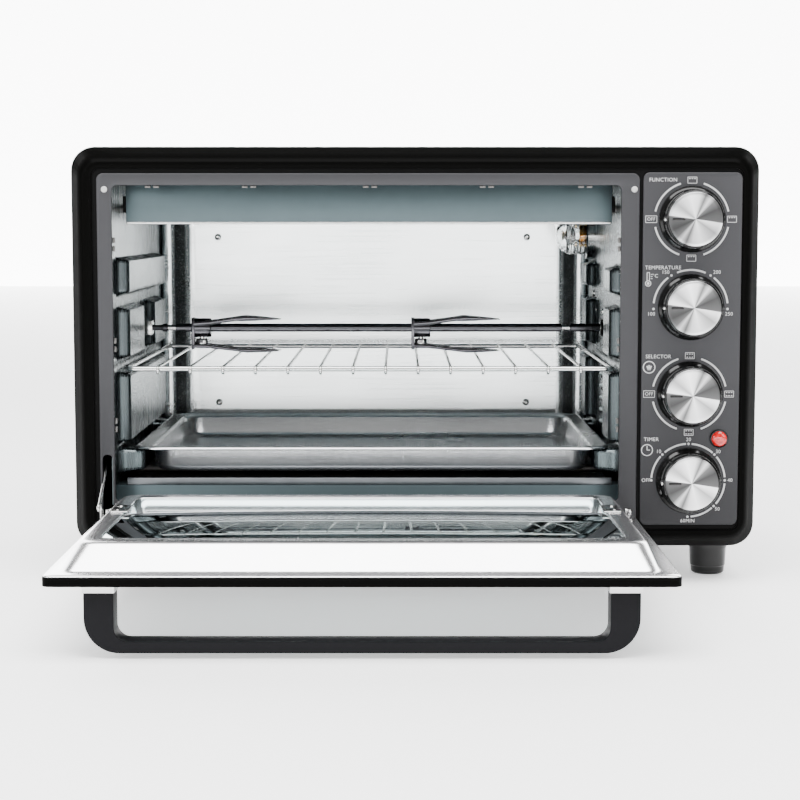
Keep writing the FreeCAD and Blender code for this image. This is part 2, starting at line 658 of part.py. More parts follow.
def side_wall(side, rows, *holes):
    """A cavity side: a sheet with hollow bosses pressed inwards."""
    inner, outer = ("cavity_left", "cavity_left - sheet")
    if side == "left":
        inner, outer = ("cavity_right + sheet", "cavity_right")
    sheet_plate = box((outer, inner), ("cavity_front", "cavity_back"),
                      ("cavity_bottom", "cavity_top"))
    blocks, hollows = zip(*[boss(side, *row) for row in rows])
    return cut(fuse(sheet_plate, *blocks), *(hollows + holes))


def depth(text):
    """A place measured back from the front plane."""
    return "front + (%s)" % text


def heater_places():
    """Where the four heating elements run."""
    return [(depth(y), z) for z in ("upper_heater_z", "lower_heater_z")
            for y in ("heater_front", "heater_rear")]


def make_cavity():
    """The cavity: two pressed sides, roof, floor with sills, back and deflector."""
    whole = (depth("boss_front"), depth("boss_rear"))
    row_one = ("row_one_low", "row_one_high")
    row_two = ("row_two_low", "row_two_high")
    row_three = ("row_three_low", "row_three_high")
    ledge = ("ledge_low", "ledge_high")
    ledge_front = (depth("boss_front"), depth("ledge_front_end"))
    ledge_rear = (depth("ledge_rear_start"), depth("boss_rear"))
    left_rows = [(whole, row_one, "boss_rise"),
                 ((whole[0], depth("boss_split_front")), row_two, "boss_rise"),
                 ((depth("boss_split_rear"), whole[1]), row_two, "boss_rise"),
                 (whole, row_three, "boss_rise"),
                 (ledge_front, ledge, "ledge_rise"), (ledge_rear, ledge, "ledge_rise")]
    right_front = (whole[0], depth("right_front_end"))
    right_rear = (depth("right_rear_start"), whole[1])
    right_rows = [(span, row, "boss_rise")
                  for row in (("row_one_low", "right_row_one_high"), row_two, row_three)
                  for span in (right_front, right_rear)]
    right_rows += [(ledge_front, ledge, "ledge_rise"), (ledge_rear, ledge, "ledge_rise")]

    def heater_holes(x):
        return [cylinder("x", x, y, z, "heater_dia + 1", "3 * sheet") for y, z in heater_places()]

    node("cavity_left_wall", side_wall("right", left_rows,
                                       *heater_holes("cavity_left - 2 * sheet")))
    drive = cylinder("x", "cavity_right - sheet", "spit_y", "spit_z", "socket_shaft_dia + 1",
                     "3 * sheet")
    light = cylinder("x", "cavity_right - sheet", "light_y", "light_z", "light_glass_dia - 6",
                     "3 * sheet")
    louvres = [box(("cavity_right - sheet", "cavity_right + 2 * sheet"),
                   ("fan_y - louvre_half", "fan_y + louvre_half"),
                   ("fan_z - louvre_low + louvre_pitch * %d" % row,
                    "fan_z - louvre_low + louvre_tall + louvre_pitch * %d" % row))
               for row in range(int(value("louvre_count")))]
    node("cavity_right_wall", side_wall("left", right_rows, drive, light, *louvres,
                                        *heater_holes("cavity_right - sheet")))

    across = ("cavity_left - sheet", "cavity_right + sheet")
    along = ("cavity_front", "cavity_back")
    node("cavity_top_panel", box(across, along, ("cavity_top", "cavity_top + sheet")))
    sills = [cut(box(("cavity_left", "cavity_right"), (y, y + " + sill_depth"),
                     ("cavity_bottom", "crumb_z - crumb_gap")),
                 box(("cavity_left - 1", "cavity_right + 1"),
                     (y + " + sheet", y + " + sill_depth - sheet"),
                     ("cavity_bottom - 2 * sheet", "crumb_z - crumb_gap - sheet")))
             for y in (depth("crumb_front + gap"), depth("crumb_front + crumb_length - sill_depth"))]
    node("cavity_floor", fuse(box(across, along, ("cavity_bottom - sheet", "cavity_bottom")),
                              *sills))

    plate = box(across, ("cavity_back", "cavity_back + sheet"),
                ("cavity_bottom - sheet", "cavity_top + sheet"))
    rim = ("cavity_left + recess_rim", "cavity_right - recess_rim",
           "cavity_bottom + recess_rim", "cavity_top - recess_rim")
    signs = ("+", "-", "+", "-")

    def step(rect, text):
        return tuple("(%s) %s (%s)" % (side, sign, text) for side, sign in zip(rect, signs))

    outer = tapered("back", "cavity_back", "recess_back + sheet", step(rim, "-sheet"),
                    step(rim, "recess_slope - sheet"))
    inner = tapered("back", "cavity_back", "recess_back", rim, step(rim, "recess_slope"))
    node("cavity_back_panel", cut(fuse(plate, outer), inner))

    deflector_x = ("cavity_left + deflector_side", "cavity_right - deflector_side")
    lip = box(deflector_x,
              (depth("deflector_depth"), depth("deflector_depth + deflector_lip")),
              ("deflector_low", "deflector_low + sheet"))
    face = box(deflector_x,
               (depth("deflector_depth"), depth("deflector_depth + sheet")),
               ("deflector_low", "deflector_high"))
    shelf = box(deflector_x,
                (depth("deflector_depth"), depth("deflector_depth + deflector_shelf")),
                ("deflector_high", "cavity_top"))
    node("top_deflector", fuse(lip, face, shelf))


def make_heaters():
    """The four heating elements and their insulators."""
    bars = [cylinder("x", "cavity_left - heater_stub", y, z, "heater_dia",
                     "cavity_right - cavity_left + 2 * heater_stub") for y, z in heater_places()]
    node("upper_heaters", group(*bars[:2]))
    node("lower_heaters", group(*bars[2:]))
    sleeves = []
    for y, z in heater_places():
        for x in ("cavity_left - sheet - insulator_length", "cavity_right + sheet"):
            sleeves.append(cut(cylinder("x", x, y, z, "insulator_dia", "insulator_length"),
                               cylinder("x", "(%s) - 1" % x, y, z, "heater_dia",
                                        "insulator_length + 2")))
    node("heater_insulators", group(*sleeves))


def ball(x, y, z, diameter):
    """A ball whose poles lie along X."""
    sphere = doc.addObject("Part::Sphere", "Ball")
    sphere.Placement = Placement(Vector(), TURN["x"])
    bind(sphere, Radius="(%s) / 2" % diameter)
    locate(sphere, x, y, z)
    return sphere


def make_light():
    """The oven light in the right wall: ring, glass dome, bulb and socket."""
    straight = "light_reach - light_glass_dia / 2"
    dome_x = "cavity_right - (%s)" % straight
    glass = fuse(cylinder("x", dome_x, "light_y", "light_z", "light_glass_dia", straight),
                 ball(dome_x, "light_y", "light_z", "light_glass_dia"))
    hollow = fuse(cylinder("x", dome_x, "light_y", "light_z", "light_glass_dia - 2 * light_wall",
                           "(%s) + 1" % straight),
                  ball(dome_x, "light_y", "light_z", "light_glass_dia - 2 * light_wall"))
    beyond = box(("cavity_right", "cavity_right + light_glass_dia"),
                 ("light_y - light_glass_dia", "light_y + light_glass_dia"),
                 ("light_z - light_glass_dia", "light_z + light_glass_dia"))
    node("light_glass", cut(glass, hollow, beyond))
    node("light_ring", cut(cylinder("x", "cavity_right - light_ring_height", "light_y",
                                    "light_z", "light_ring_dia", "light_ring_height"),
                           cylinder("x", "cavity_right - light_ring_height - 1", "light_y",
                                    "light_z", "light_glass_dia", "light_ring_height + 2")))
    node("light_socket", cylinder("x", "cavity_right - socket_start", "light_y", "light_z",
                                  "light_glass_dia - 2 * socket_rim", "light_socket_length"))
    node("light_bulb", fuse(cylinder("x", "cavity_right - bulb_start", "light_y", "light_z",
                                     "bulb_neck_dia", "bulb_neck"),
                            ball("cavity_right - bulb_start - bulb_dia / 6", "light_y",
                                 "light_z", "bulb_dia")))


# ---------------------------------------------------------------- spit
def rod_between(low, high, diameter):
    """A length of bar on the spit's axis."""
    return cylinder("x", low, "spit_y", "spit_z", diameter, "(%s) - (%s)" % (high, low))


def make_spit():
    """The spit rod, its rest, its drive and its motor."""
    half = "bracket_block / 2"
    block = box(("cavity_left", "cavity_left + bracket_block"),
                ("spit_y - %s" % half, "spit_y + %s" % half),
                ("spit_z - %s" % half, "spit_z + %s" % half))
    node("spit_bracket", cut(block, rod_between("cavity_left + sheet",
                                                "cavity_left + bracket_block + 1",
                                                "spit_neck + 2 * shaft_slack")))
    socket_face = "cavity_right - socket_reach"
    node("spit_rod", fuse(
        rod_between("cavity_left + 2 * sheet", "cavity_left + bracket_block + neck_length",
                    "spit_neck"),
        rod_between("cavity_left + bracket_block + neck_lap", socket_face, "spit_dia")))
    node("drive_socket", fuse(
        rod_between(socket_face, "cavity_right - gap", "socket_dia"),
        rod_between("cavity_right - gap", "cavity_right + gear_motor_gap + gear_motor_length",
                    "socket_shaft_dia")))
    motor = cylinder("x", "cavity_right + gear_motor_gap", "spit_y", "spit_z + gear_motor_lift",
                     "gear_motor_dia", "gear_motor_length + 2")
    foot = box(("cavity_right + sheet", "cavity_right + gear_motor_gap + 1"),
               ("spit_y - gear_foot_half", "spit_y + gear_foot_half"),
               ("spit_z + gear_foot_low", "spit_z + gear_foot_high"))
    node("gear_motor", cut(fuse(motor, foot),
                           rod_between("cavity_right", "cavity_right + gear_motor_gap + 1 + gear_motor_length",
                                       "socket_shaft_dia + 2 * shaft_slack")))
    for side, x in (("left", "left_fork_x"), ("right", "right_fork_x")):
        make_fork(side, x)


def make_fork(side, x):
    """A meat fork: a clamping hub on the rod, with two prongs above and two below."""
    start = "%s - fork_hub_length / 2" % x
    hub = rod_between(start, "%s + fork_hub_length / 2" % x, "fork_hub_dia")
    plate = box((start, start + " + fork_blade"), ("spit_y - fork_half", "spit_y + fork_half"),
                ("spit_z - fork_down", "spit_z + fork_up"))
    prongs = []
    for low in ("fork_up - fork_blade", "-fork_down"):
        for y in ("spit_y - fork_half", "spit_y + fork_half - fork_width"):
            prongs.append(box((start, "%s + fork_reach" % x), (y, y + " + fork_width"),
                              ("spit_z + (%s)" % low, "spit_z + (%s) + fork_blade" % low)))
    bore = rod_between(start + " - 1", "%s + fork_hub_length" % x, "spit_dia + 2 * fork_slack")
    screw_low = "spit_z - fork_down - thumb_height - 4"
    shank_top = "spit_z - spit_dia / 2 - fork_slack"
    tapping = cylinder("z", x, "spit_y", screw_low, "thumb_shank_dia + 2 * fork_slack",
                       "fork_down + thumb_height + 4")
    node(side + "_fork", cut(fuse(hub, plate, *prongs), bore, tapping))
    head = cylinder("z", x, "spit_y", "spit_z - fork_down + thumb_lift", "thumb_dia", "thumb_height")
    shank = cylinder("z", x, "spit_y", "spit_z - fork_down + thumb_lift", "thumb_shank_dia",
                     "(%s) - (spit_z - fork_down + thumb_lift)" % shank_top)
    node(side + "_thumbscrew", fuse(head, shank))


# ---------------------------------------------------------------- rack and trays
def make_rack():
    """A chromed rack: a round-wire frame with thinner bars from front to back."""
    wires = [cylinder("x", "rack_left", y, "rack_z", "rack_wire", "rack_right - rack_left")
             for y in ("rack_near", "rack_rear")]
    wires += [cylinder("y", x, "rack_near", "rack_z", "rack_wire", "rack_rear - rack_near")
              for x in ("rack_left", "rack_right")]
    wires += [ball(x, y, "rack_z", "rack_wire") for x in ("rack_left", "rack_right")
              for y in ("rack_near", "rack_rear")]
    for number in range(int(value("rack_bars"))):
        x = "(rack_left + rack_right) / 2 + rack_pitch * (%d - (rack_bars - 1) / 2)" % number
        wires.append(cylinder("y", x, "rack_near - rack_bar / 2",
                              "rack_z + rack_wire / 2 - rack_bar / 4", "rack_bar",
                              "rack_rear - rack_near + rack_bar"))
    node("wire_rack", fuse(*wires))


def make_trays():
    """The baking tray and the crumb tray."""
    tray = flat_plate("baking_tray", "tray_top - tray_sheet", "tray_sheet",
                      ("tray_left", "tray_right"), ("tray_near", "tray_far"), "tray_radius")
    inner_x = ("tray_left + tray_rim", "tray_right - tray_rim")
    inner_y = ("tray_near + tray_rim", "tray_far - tray_rim")
    pad(tray, flat_outline(tray, "tray_bottom", inner_x, inner_y, "tray_radius"),
        "tray_top - tray_bottom")
    well = flat_outline(tray, "tray_top + 1",
                        (inner_x[0] + " + tray_sheet", inner_x[1] + " - tray_sheet"),
                        (inner_y[0] + " + tray_sheet", inner_y[1] + " - tray_sheet"),
                        "tray_radius - tray_sheet")
    pocket(tray, well, "tray_top - tray_bottom - tray_sheet + 1")

    crumb_x = ("cavity_left + crumb_side_gap", "cavity_right - crumb_side_gap")
    node("crumb_tray", fuse(
        box(crumb_x, (depth("crumb_front"), depth("crumb_front + crumb_length")),
            ("crumb_z", "crumb_z + sheet")),
        box(crumb_x, (depth("crumb_front"), depth("crumb_front + sheet")),
            ("crumb_z", "crumb_z + crumb_lip"))))


# ---------------------------------------------------------------- convection fan
def make_fan():
    """The convection fan, its duct and its motor."""
    start = "cavity_right + sheet + fan_gap"
    end = "%s + fan_width" % start
    duct_end = end + " + fan_gap"
    hub = cylinder("x", start, "fan_y", "fan_z", "fan_hub_dia", "fan_width")
    shaft = cylinder("x", start, "fan_y", "fan_z", "fan_shaft_dia", "fan_width + fan_gap + fan_shaft_end")
    blades = []
    for number in range(4):
        angle = 45 * number
        turn = Rotation(Vector(1, 0, 0), angle)
        cosine, sine = math.cos(math.radians(angle)), math.sin(math.radians(angle))
        blade = doc.addObject("Part::Box", "Blade")
        blade.Placement = Placement(Vector(), turn)
        bind(blade, Length="fan_width", Width="fan_dia", Height="fan_blade")
        locate(blade, start,
               "fan_y - (fan_dia * %.6f - fan_blade * %.6f) / 2" % (cosine, sine),
               "fan_z - (fan_dia * %.6f + fan_blade * %.6f) / 2" % (sine, cosine))
        blades.append(blade)
    node("convection_fan", fuse(hub, shaft, *blades))
    wide, tall = "fan_dia / 2 + duct_side", "fan_dia / 2 + duct_top"
    duct = cut(box(("cavity_right + sheet", "%s + sheet" % duct_end),
                   ("fan_y - (%s)" % wide, "fan_y + (%s)" % wide),
                   ("fan_z - (%s)" % tall, "fan_z + (%s)" % tall)),
               box(("cavity_right", duct_end),
                   ("fan_y - (%s) + sheet" % wide, "fan_y + (%s) - sheet" % wide),
                   ("fan_z - (%s) + sheet" % tall, "fan_z + (%s) - sheet" % tall)),
               cylinder("x", duct_end + " - 1", "fan_y", "fan_z",
                        "fan_shaft_dia + 2", "4"))
    node("fan_duct", duct)
    motor_start = duct_end + " + sheet"
    node("fan_motor", cut(
        cylinder("x", motor_start, "fan_y", "fan_z", "fan_motor_dia", "fan_motor_length"),
        cylinder("x", motor_start + " - 1", "fan_y", "fan_z",
                 "fan_shaft_dia + 2 * shaft_slack", "fan_motor_length - 4")))


# ---------------------------------------------------------------- controls
CONTROLS = (("function", "function_switch", "knob_one_z"),
            ("temperature", "thermostat", "knob_two_z"),
            ("selector", "selector_switch", "knob_three_z"),
            ("timer", "timer", "knob_four_z"))


def knob_disc(z, start, diameter, far_diameter, length):
    """A turned disc of a knob, from start towards the user."""
    return cone("y", "knob_x", "(%s) - (%s)" % (start, length), z, far_diameter, diameter, length)


def make_controls():
    """The knobs, the switches behind them and the indicator."""
    bush_end = "front - bush_reach"
    for control, switch, z in CONTROLS:
        skirt_front = "knob_back - knob_skirt_rise"
        cap_length = "knob_height - knob_skirt_rise"
        cap = fuse(knob_disc(z, "knob_back", "knob_skirt_dia", "knob_skirt_dia - 2",
                             "knob_skirt_rise"),
                   knob_disc(z, skirt_front, "knob_body_dia", "knob_body_dia - 2", cap_length))
        relief = cylinder("y", "knob_x", bush_end + " - 1.5", z, "bush_dia + 4",
                          "bush_reach + 3")
        shaft_end = "knob_back - knob_height + 4"
        shaft = cylinder("y", "knob_x", shaft_end, z, "shaft_dia",
                         "front + shaft_reach - (%s)" % shaft_end)
        face = knob_disc(z, "knob_back - knob_height", "knob_face_dia", "knob_face_dia - 2", "1")
        node(control + "_knob", fuse(cut(fuse(cap, face), relief), shaft))
        half = "switch_width / 2"
        body = box(("knob_x - %s" % half, "knob_x + %s" % half), ("switch_front", "switch_back"),
                   ("%s - %s" % (z, half), "%s + %s" % (z, half)))
        bush = cylinder("y", "knob_x", bush_end, z, "bush_dia", "switch_front - (%s)" % bush_end)
        bore = cylinder("y", "knob_x", bush_end + " - 1", z, "shaft_dia + 2 * shaft_slack",
                        "bush_reach + shaft_reach + 2")
        node(switch, cut(fuse(body, bush), bore))
    node("indicator_holder", fuse(
        cylinder("y", "lamp_x", "front - 1.2", "lamp_z", "lamp_ring_dia", "1.2"),
        cylinder("y", "lamp_x", "front - 1.2", "lamp_z", "lamp_barrel_dia", "12")))
    node("indicator_lens", cylinder("y", "lamp_x", "front - 3.8", "lamp_z", "lamp_dia", "2.6"))


# ---------------------------------------------------------------- door, drawn open
def make_door():
    """The door's black frame, steel pan, glass and clips."""
    frame = flat_plate("door_frame", "rim_base", "door_rim", ("door_left", "door_right"),
                       ("door_far", "door_near"), "door_radius")
    pocket(frame, flat_outline(frame, "rim_top + 1",
                               ("door_left + pan_sheet", "door_right - pan_sheet"),
                               ("door_far + pan_sheet", "door_near - pan_sheet"),
                               "door_radius - pan_sheet"), "door_rim - pan_sheet + 1")
    pocket(frame, flat_outline(frame, "rim_top + 1", ("window_left", "window_right"),
                               ("window_low_y", "window_top_y"), "window_radius"),
           "door_rim + 2")

    flange = box(("door_left + gap", "door_right - gap"), ("door_far + gap", "door_near - gap"),
                 ("rim_top", "rim_top + pan_sheet"))
    outer = tapered("up", "rim_top", "pan_top", ("pan_left", "pan_right", "pan_far", "pan_near"),
                    ("plateau_left", "plateau_right", "plateau_far", "plateau_near"))
    inset = ("(%s) + pan_sheet", "(%s) - pan_sheet", "(%s) + pan_sheet", "(%s) - pan_sheet")
    base = ("pan_left", "pan_right", "pan_far", "pan_near")
    top = ("plateau_left", "plateau_right", "plateau_far", "plateau_near")
    hollow = tapered("up", "rim_top", "pan_top - pan_sheet",
                     tuple(text % name for text, name in zip(inset, base)),
                     tuple(text % name for text, name in zip(inset, top)))
    window = box(("window_left", "window_right"), ("window_low_y", "window_top_y"),
                 ("rim_top", "pan_top + 1"))
    node("door_pan", cut(fuse(flange, outer), hollow, window))

    glass_top = "pan_top - pan_sheet"
    node("door_glass", box(("window_left - glass_lap", "window_right + glass_lap"),
                           ("window_low_y - glass_lap", "window_top_y + glass_lap"),
                           (glass_top + " - glass_thickness", glass_top)))
    node("glass_clips", group(*[
        box((x, x + " + clip_width"),
            ("window_top_y - clip_near - clip_length", "window_top_y - clip_near"),
            ("pan_top", "pan_top + sheet"))
        for x in ("window_left - clip_lap_left", "window_right - clip_lap_right")]))
    make_hinges()
    make_handle()


def make_hinges():
    """Ears, pins and brackets of the hinges, the door's link and its spring."""
    flange_top = "rim_top + pan_sheet"
    ears, pins, brackets = [], [], []
    left_ear = "door_left + hinge_inset"
    right_ear = "door_right - hinge_inset - hinge_ear"
    # the cheek that holds each pin stands on the inner side of its ear
    left_cheek = left_ear + " + hinge_ear + cheek_gap"
    right_cheek = right_ear + " - cheek_gap - hinge_cheek"
    nose = "hinge_nose_dia / 2"
    for ear, cheek, pin_low, pin_high in (
            (left_ear, left_cheek, left_ear + " - pin_end", left_cheek + " + hinge_cheek"),
            (right_ear, right_cheek, right_cheek, right_ear + " + hinge_ear + pin_end")):
        tab = fuse(box((ear, ear + " + hinge_ear"), ("door_near - ear_length", "pivot_y"),
                       (flange_top, "pivot_height + %s" % nose)),
                   cylinder("x", ear, "pivot_y", "pivot_height", "hinge_nose_dia", "hinge_ear"))
        ears.append(cut(tab, cylinder("x", ear + " - 1", "pivot_y", "pivot_height",
                                      "hinge_pin_dia + 2 * hinge_slack", "hinge_ear + 2")))
        pins.append(cylinder("x", pin_low, "pivot_y", "pivot_height", "hinge_pin_dia",
                             "(%s) - (%s)" % (pin_high, pin_low)))
        arm = fuse(cylinder("x", cheek, "pivot_y", "pivot_height", "hinge_nose_dia",
                            "hinge_cheek"),
                   box((cheek, cheek + " + hinge_cheek"), ("pivot_y", "bulk_back + hinge_reach"),
                       ("pivot_height - %s" % nose, "pivot_height + %s" % nose)),
                   box((cheek, cheek + " + hinge_cheek"),
                       ("bulk_back", "bulk_back + hinge_reach"),
                       ("pivot_height - bracket_web", "pivot_height + %s" % nose)),
                   box((cheek + " - bracket_foot", cheek + " + hinge_cheek"),
                       ("bulk_back", "bulk_back + bracket_plate"),
                       ("pivot_height - bracket_low", "pivot_height - bracket_top")))
        brackets.append(cut(arm, cylinder("x", cheek + " - 1", "pivot_y", "pivot_height",
                                          "hinge_pin_dia", "hinge_cheek + 2")))
    node("hinge_pins", group(*pins))
    node("hinge_brackets", group(*brackets))

    tab_x = "link_x + link_dia / 2 + stud_tab_gap"
    stud = fuse(box((tab_x, tab_x + " + stud_tab"), ("stud_y - stud_tab_half", "stud_y + stud_tab_half"),
                    (flange_top, "stud_z + 3")),
                cylinder("x", "link_x - link_dia / 2 - cheek_gap", "stud_y", "stud_z", "stud_dia",
                         "link_dia + 1"))
    node("door_ears", group(stud, *ears))
    reach = doc.addObject("Part::Cylinder", "Wire")
    slope = math.radians(value("link_angle"))
    reach.Placement = Placement(Vector(), Rotation(Vector(0, 0, 1),
                                                   Vector(0, math.cos(slope), math.sin(slope))))
    bind(reach, Radius="link_dia / 2", Height="link_length")
    locate(reach, "link_x", "stud_y + 2 * %.4f" % math.cos(slope),
           "stud_z + 2 * %.4f" % math.sin(slope))
    eye = cylinder("x", "link_x - link_eye / 2", "stud_y", "stud_z", "link_eye_dia", "link_eye")
    node("door_link", cut(fuse(reach, eye),
                          cylinder("x", "link_x - link_dia", "stud_y", "stud_z",
                                   "stud_dia + 2 * hinge_slack", "2 * link_dia")))
    x, z = "link_x - spring_side", "stud_z + spring_rise"
    spring = cut(cylinder("y", x, depth("spring_start"), z, "spring_dia", "spring_length"),
                 cylinder("y", x, depth("spring_start - 1"), z, "spring_bore",
                          "spring_length + 2"))
    node("door_spring", spring)


def make_handle():
    """A square-section U below the open door, on two collars."""
    handle = new_body("handle")
    near = "handle_y - handle_depth / 2"
    pad(handle, front_outline(handle, near, ("handle_left", "handle_right"),
                              ("handle_base", "handle_top + 2 * handle_corner"),
                              "handle_corner"), "handle_depth", reverse=True)
    front_opening(handle, near, ("handle_left + handle_leg", "handle_right - handle_leg"),
                  ("handle_base + handle_bar", "handle_top + 3 * handle_corner"),
                  "handle_inner_radius", "handle_depth")
    front_opening(handle, near, ("handle_left - 5", "handle_right + 5"),
                  ("handle_top", "handle_top + 4 * handle_corner"), "1", "handle_depth")
    legs = ("handle_left", "handle_right - handle_leg")
    collars, screws = [], []
    for leg in legs:
        middle = leg + " + handle_leg / 2"
        block = box((leg + " - collar_margin", leg + " + handle_leg + collar_margin"),
                    (near + " - collar_margin", "handle_y + handle_depth / 2 + collar_margin"),
                    ("handle_top", "rim_base"))
        collars.append(cut(block, cylinder("z", middle, "handle_y", "handle_top - 1",
                                            "handle_screw_dia", "collar_height + 5")))
        screws.append(fuse(cylinder("z", middle, "handle_y", "handle_top - handle_screw_depth",
                                    "handle_screw_dia",
                                    "rim_base + pan_sheet + handle_screw_depth - handle_top"),
                           cylinder("z", middle, "handle_y", "rim_base + pan_sheet",
                                    "handle_screw_head", "2")))
    node("handle_collars", group(*collars))
    node("handle_screws", group(*screws))
    for name, low in (("handle", "handle_top - handle_screw_depth"),
                      ("door_frame", "handle_top - 1")):
        holes = [cylinder("z", leg + " + handle_leg / 2", "handle_y", low, "handle_screw_dia",
                          "30") for leg in legs]
        node(name, cut(nodes[name], *holes))


make_front_frame()
make_front_plates()
make_casing()
make_feet()
make_cavity()
make_heaters()
make_light()
make_spit()
make_rack()
make_trays()
make_fan()
make_controls()
make_door()

# ---------------------------------------------------------------- checks and files
doc.recompute()
for item in doc.Objects:
    if "Invalid" in item.State or "Error" in item.State:
        raise RuntimeError("%s (%s) did not build: %s" % (item.Label, item.Name, item.State))
os.makedirs("parts", exist_ok=True)
for name, feature in nodes.items():
    if feature.Shape.isNull() or not feature.Shape.isValid():
        raise RuntimeError("%s has no valid shape" % name)
    if feature.Label != name:
        raise RuntimeError("%s is labelled %s" % (name, feature.Label))
    feature.Shape.exportStep("parts/%s.step" % name)
print("%d sub-parts written" % len(nodes))
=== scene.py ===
"""The looks of a counter-top rotisserie oven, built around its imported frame."""
import math

import bmesh
import bpy
from mathutils import Matrix, Vector


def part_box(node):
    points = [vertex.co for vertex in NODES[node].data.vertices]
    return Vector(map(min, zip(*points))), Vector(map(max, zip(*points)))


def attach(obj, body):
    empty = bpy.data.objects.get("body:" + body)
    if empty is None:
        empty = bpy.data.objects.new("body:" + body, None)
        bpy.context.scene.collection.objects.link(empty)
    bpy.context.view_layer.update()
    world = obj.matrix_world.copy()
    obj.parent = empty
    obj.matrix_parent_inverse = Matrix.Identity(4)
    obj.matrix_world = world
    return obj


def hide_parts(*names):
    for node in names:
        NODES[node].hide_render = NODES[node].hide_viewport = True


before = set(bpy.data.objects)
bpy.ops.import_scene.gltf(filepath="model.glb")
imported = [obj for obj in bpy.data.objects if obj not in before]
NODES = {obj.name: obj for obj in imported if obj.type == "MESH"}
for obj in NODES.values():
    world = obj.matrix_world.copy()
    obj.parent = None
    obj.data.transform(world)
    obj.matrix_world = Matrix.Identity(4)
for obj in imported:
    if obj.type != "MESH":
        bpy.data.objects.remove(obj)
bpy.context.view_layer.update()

bl_info = {
    "name": "Rotisserie Oven",
    "version": (1, 0, 0),
    "blender": (4, 5, 0),
    "location": "View3D > Sidebar > Oven",
    "description": "Builds the finished pieces of a counter-top rotisserie oven",
    "category": "Add Mesh",
}

MM = 0.001


def span(node):
    """A node's lowest and highest corners."""
    low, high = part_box(node)
    return Vector(low), Vector(high)


SEAT_LOW, SEAT_HIGH = span("door_seat")
FRONT = SEAT_LOW.y
PANEL_FRONT = span("control_panel")[0].y
SHEET = 1.0 * MM
WALL_LEFT = span("cavity_left_wall")[0].x + SHEET
WALL_RIGHT = span("cavity_right_wall")[1].x - SHEET
FLOOR_Z = span("cavity_floor")[0].z + SHEET
CEILING_Z = span("cavity_top_panel")[0].z
SPIT_Z = 188 * MM
LINK_STUD_Z = 64 * MM
LINK_SLOPE = math.radians(33.7)
SPIT_NECKS = (22 * MM, 351 * MM)
RACK_BARS = 14
CAMERA_X, CAMERA_Z = -0.0114, 0.276


# ------------------------------------------------------------------ sizes and colours
def size_property(name, description, default, **kind):
    return bpy.props.FloatProperty(name=name, description=description, default=default, **kind)


class OvenSizes(bpy.types.PropertyGroup):
    """Sizes of the finish that a user may change."""
    edge: size_property("Edge rounding", "Rounding on the edges of pressed sheet", 0.6 * MM,
                        unit="LENGTH")
    boss_round: size_property("Boss rounding", "How softly the side wall bosses are pressed",
                              3.2 * MM, unit="LENGTH")
    dial_radius: size_property("Dial radius", "Radius of the printed arc round each knob",
                               28.0 * MM, unit="LENGTH")
    dial_line: size_property("Dial line", "Width of the printed arcs", 1.3 * MM, unit="LENGTH")
    lens: size_property("Lens", "Focal length of the camera in millimetres", 84.0)
    pitch: size_property("Camera pitch", "Downward tilt of the camera", math.radians(5.45),
                         subtype="ANGLE")
    distance: size_property("Camera distance", "From the front face to the camera", 1.41,
                            unit="LENGTH")


def colour_property(name, default):
    return bpy.props.FloatVectorProperty(
        name=name, description="Base colour of the " + name.lower(), subtype="COLOR",
        size=3, min=0.0, max=1.0, default=default)


class OvenColours(bpy.types.PropertyGroup):
    """Base colours of the finishes."""
    rim: colour_property("Rim enamel", (0.0014, 0.0014, 0.0013))
    face: colour_property("Front enamel", (0.043, 0.043, 0.046))
    handle: colour_property("Handle enamel", (0.0055, 0.0055, 0.0065))
    cavity: colour_property("Cavity steel", (0.40, 0.47, 0.49))
    door: colour_property("Door steel", (0.88, 0.88, 0.89))
    tray: colour_property("Tray", (0.80, 0.81, 0.82))
    plating: colour_property("Plating", (0.62, 0.62, 0.61))
    fork: colour_property("Fork steel", (0.085, 0.085, 0.092))
    knob_face: colour_property("Knob face", (0.90, 0.90, 0.91))
    plastic: colour_property("Black plastic", (0.003, 0.003, 0.003))
    print_white: colour_property("Printing", (0.46, 0.46, 0.46))
    lens_red: colour_property("Indicator lens", (0.50, 0.004, 0.005))
    brass: colour_property("Brass", (0.83, 0.58, 0.26))


def sizes():
    return bpy.context.scene.oven_sizes


def colours():
    return bpy.context.scene.oven_colours


# ------------------------------------------------------------------ shader sums
class Term:
    """A shader value on which sums can be written."""

    def __init__(self, graph, socket):
        self.graph = graph
        self.socket = socket

    def __add__(self, other):
        return self.graph.math("ADD", self, other)

    def __sub__(self, other):
        return self.graph.math("SUBTRACT", self, other)

    def __rsub__(self, other):
        return self.graph.math("SUBTRACT", other, self)

    def __mul__(self, other):
        return self.graph.math("MULTIPLY", self, other)

    __radd__ = __add__
    __rmul__ = __mul__


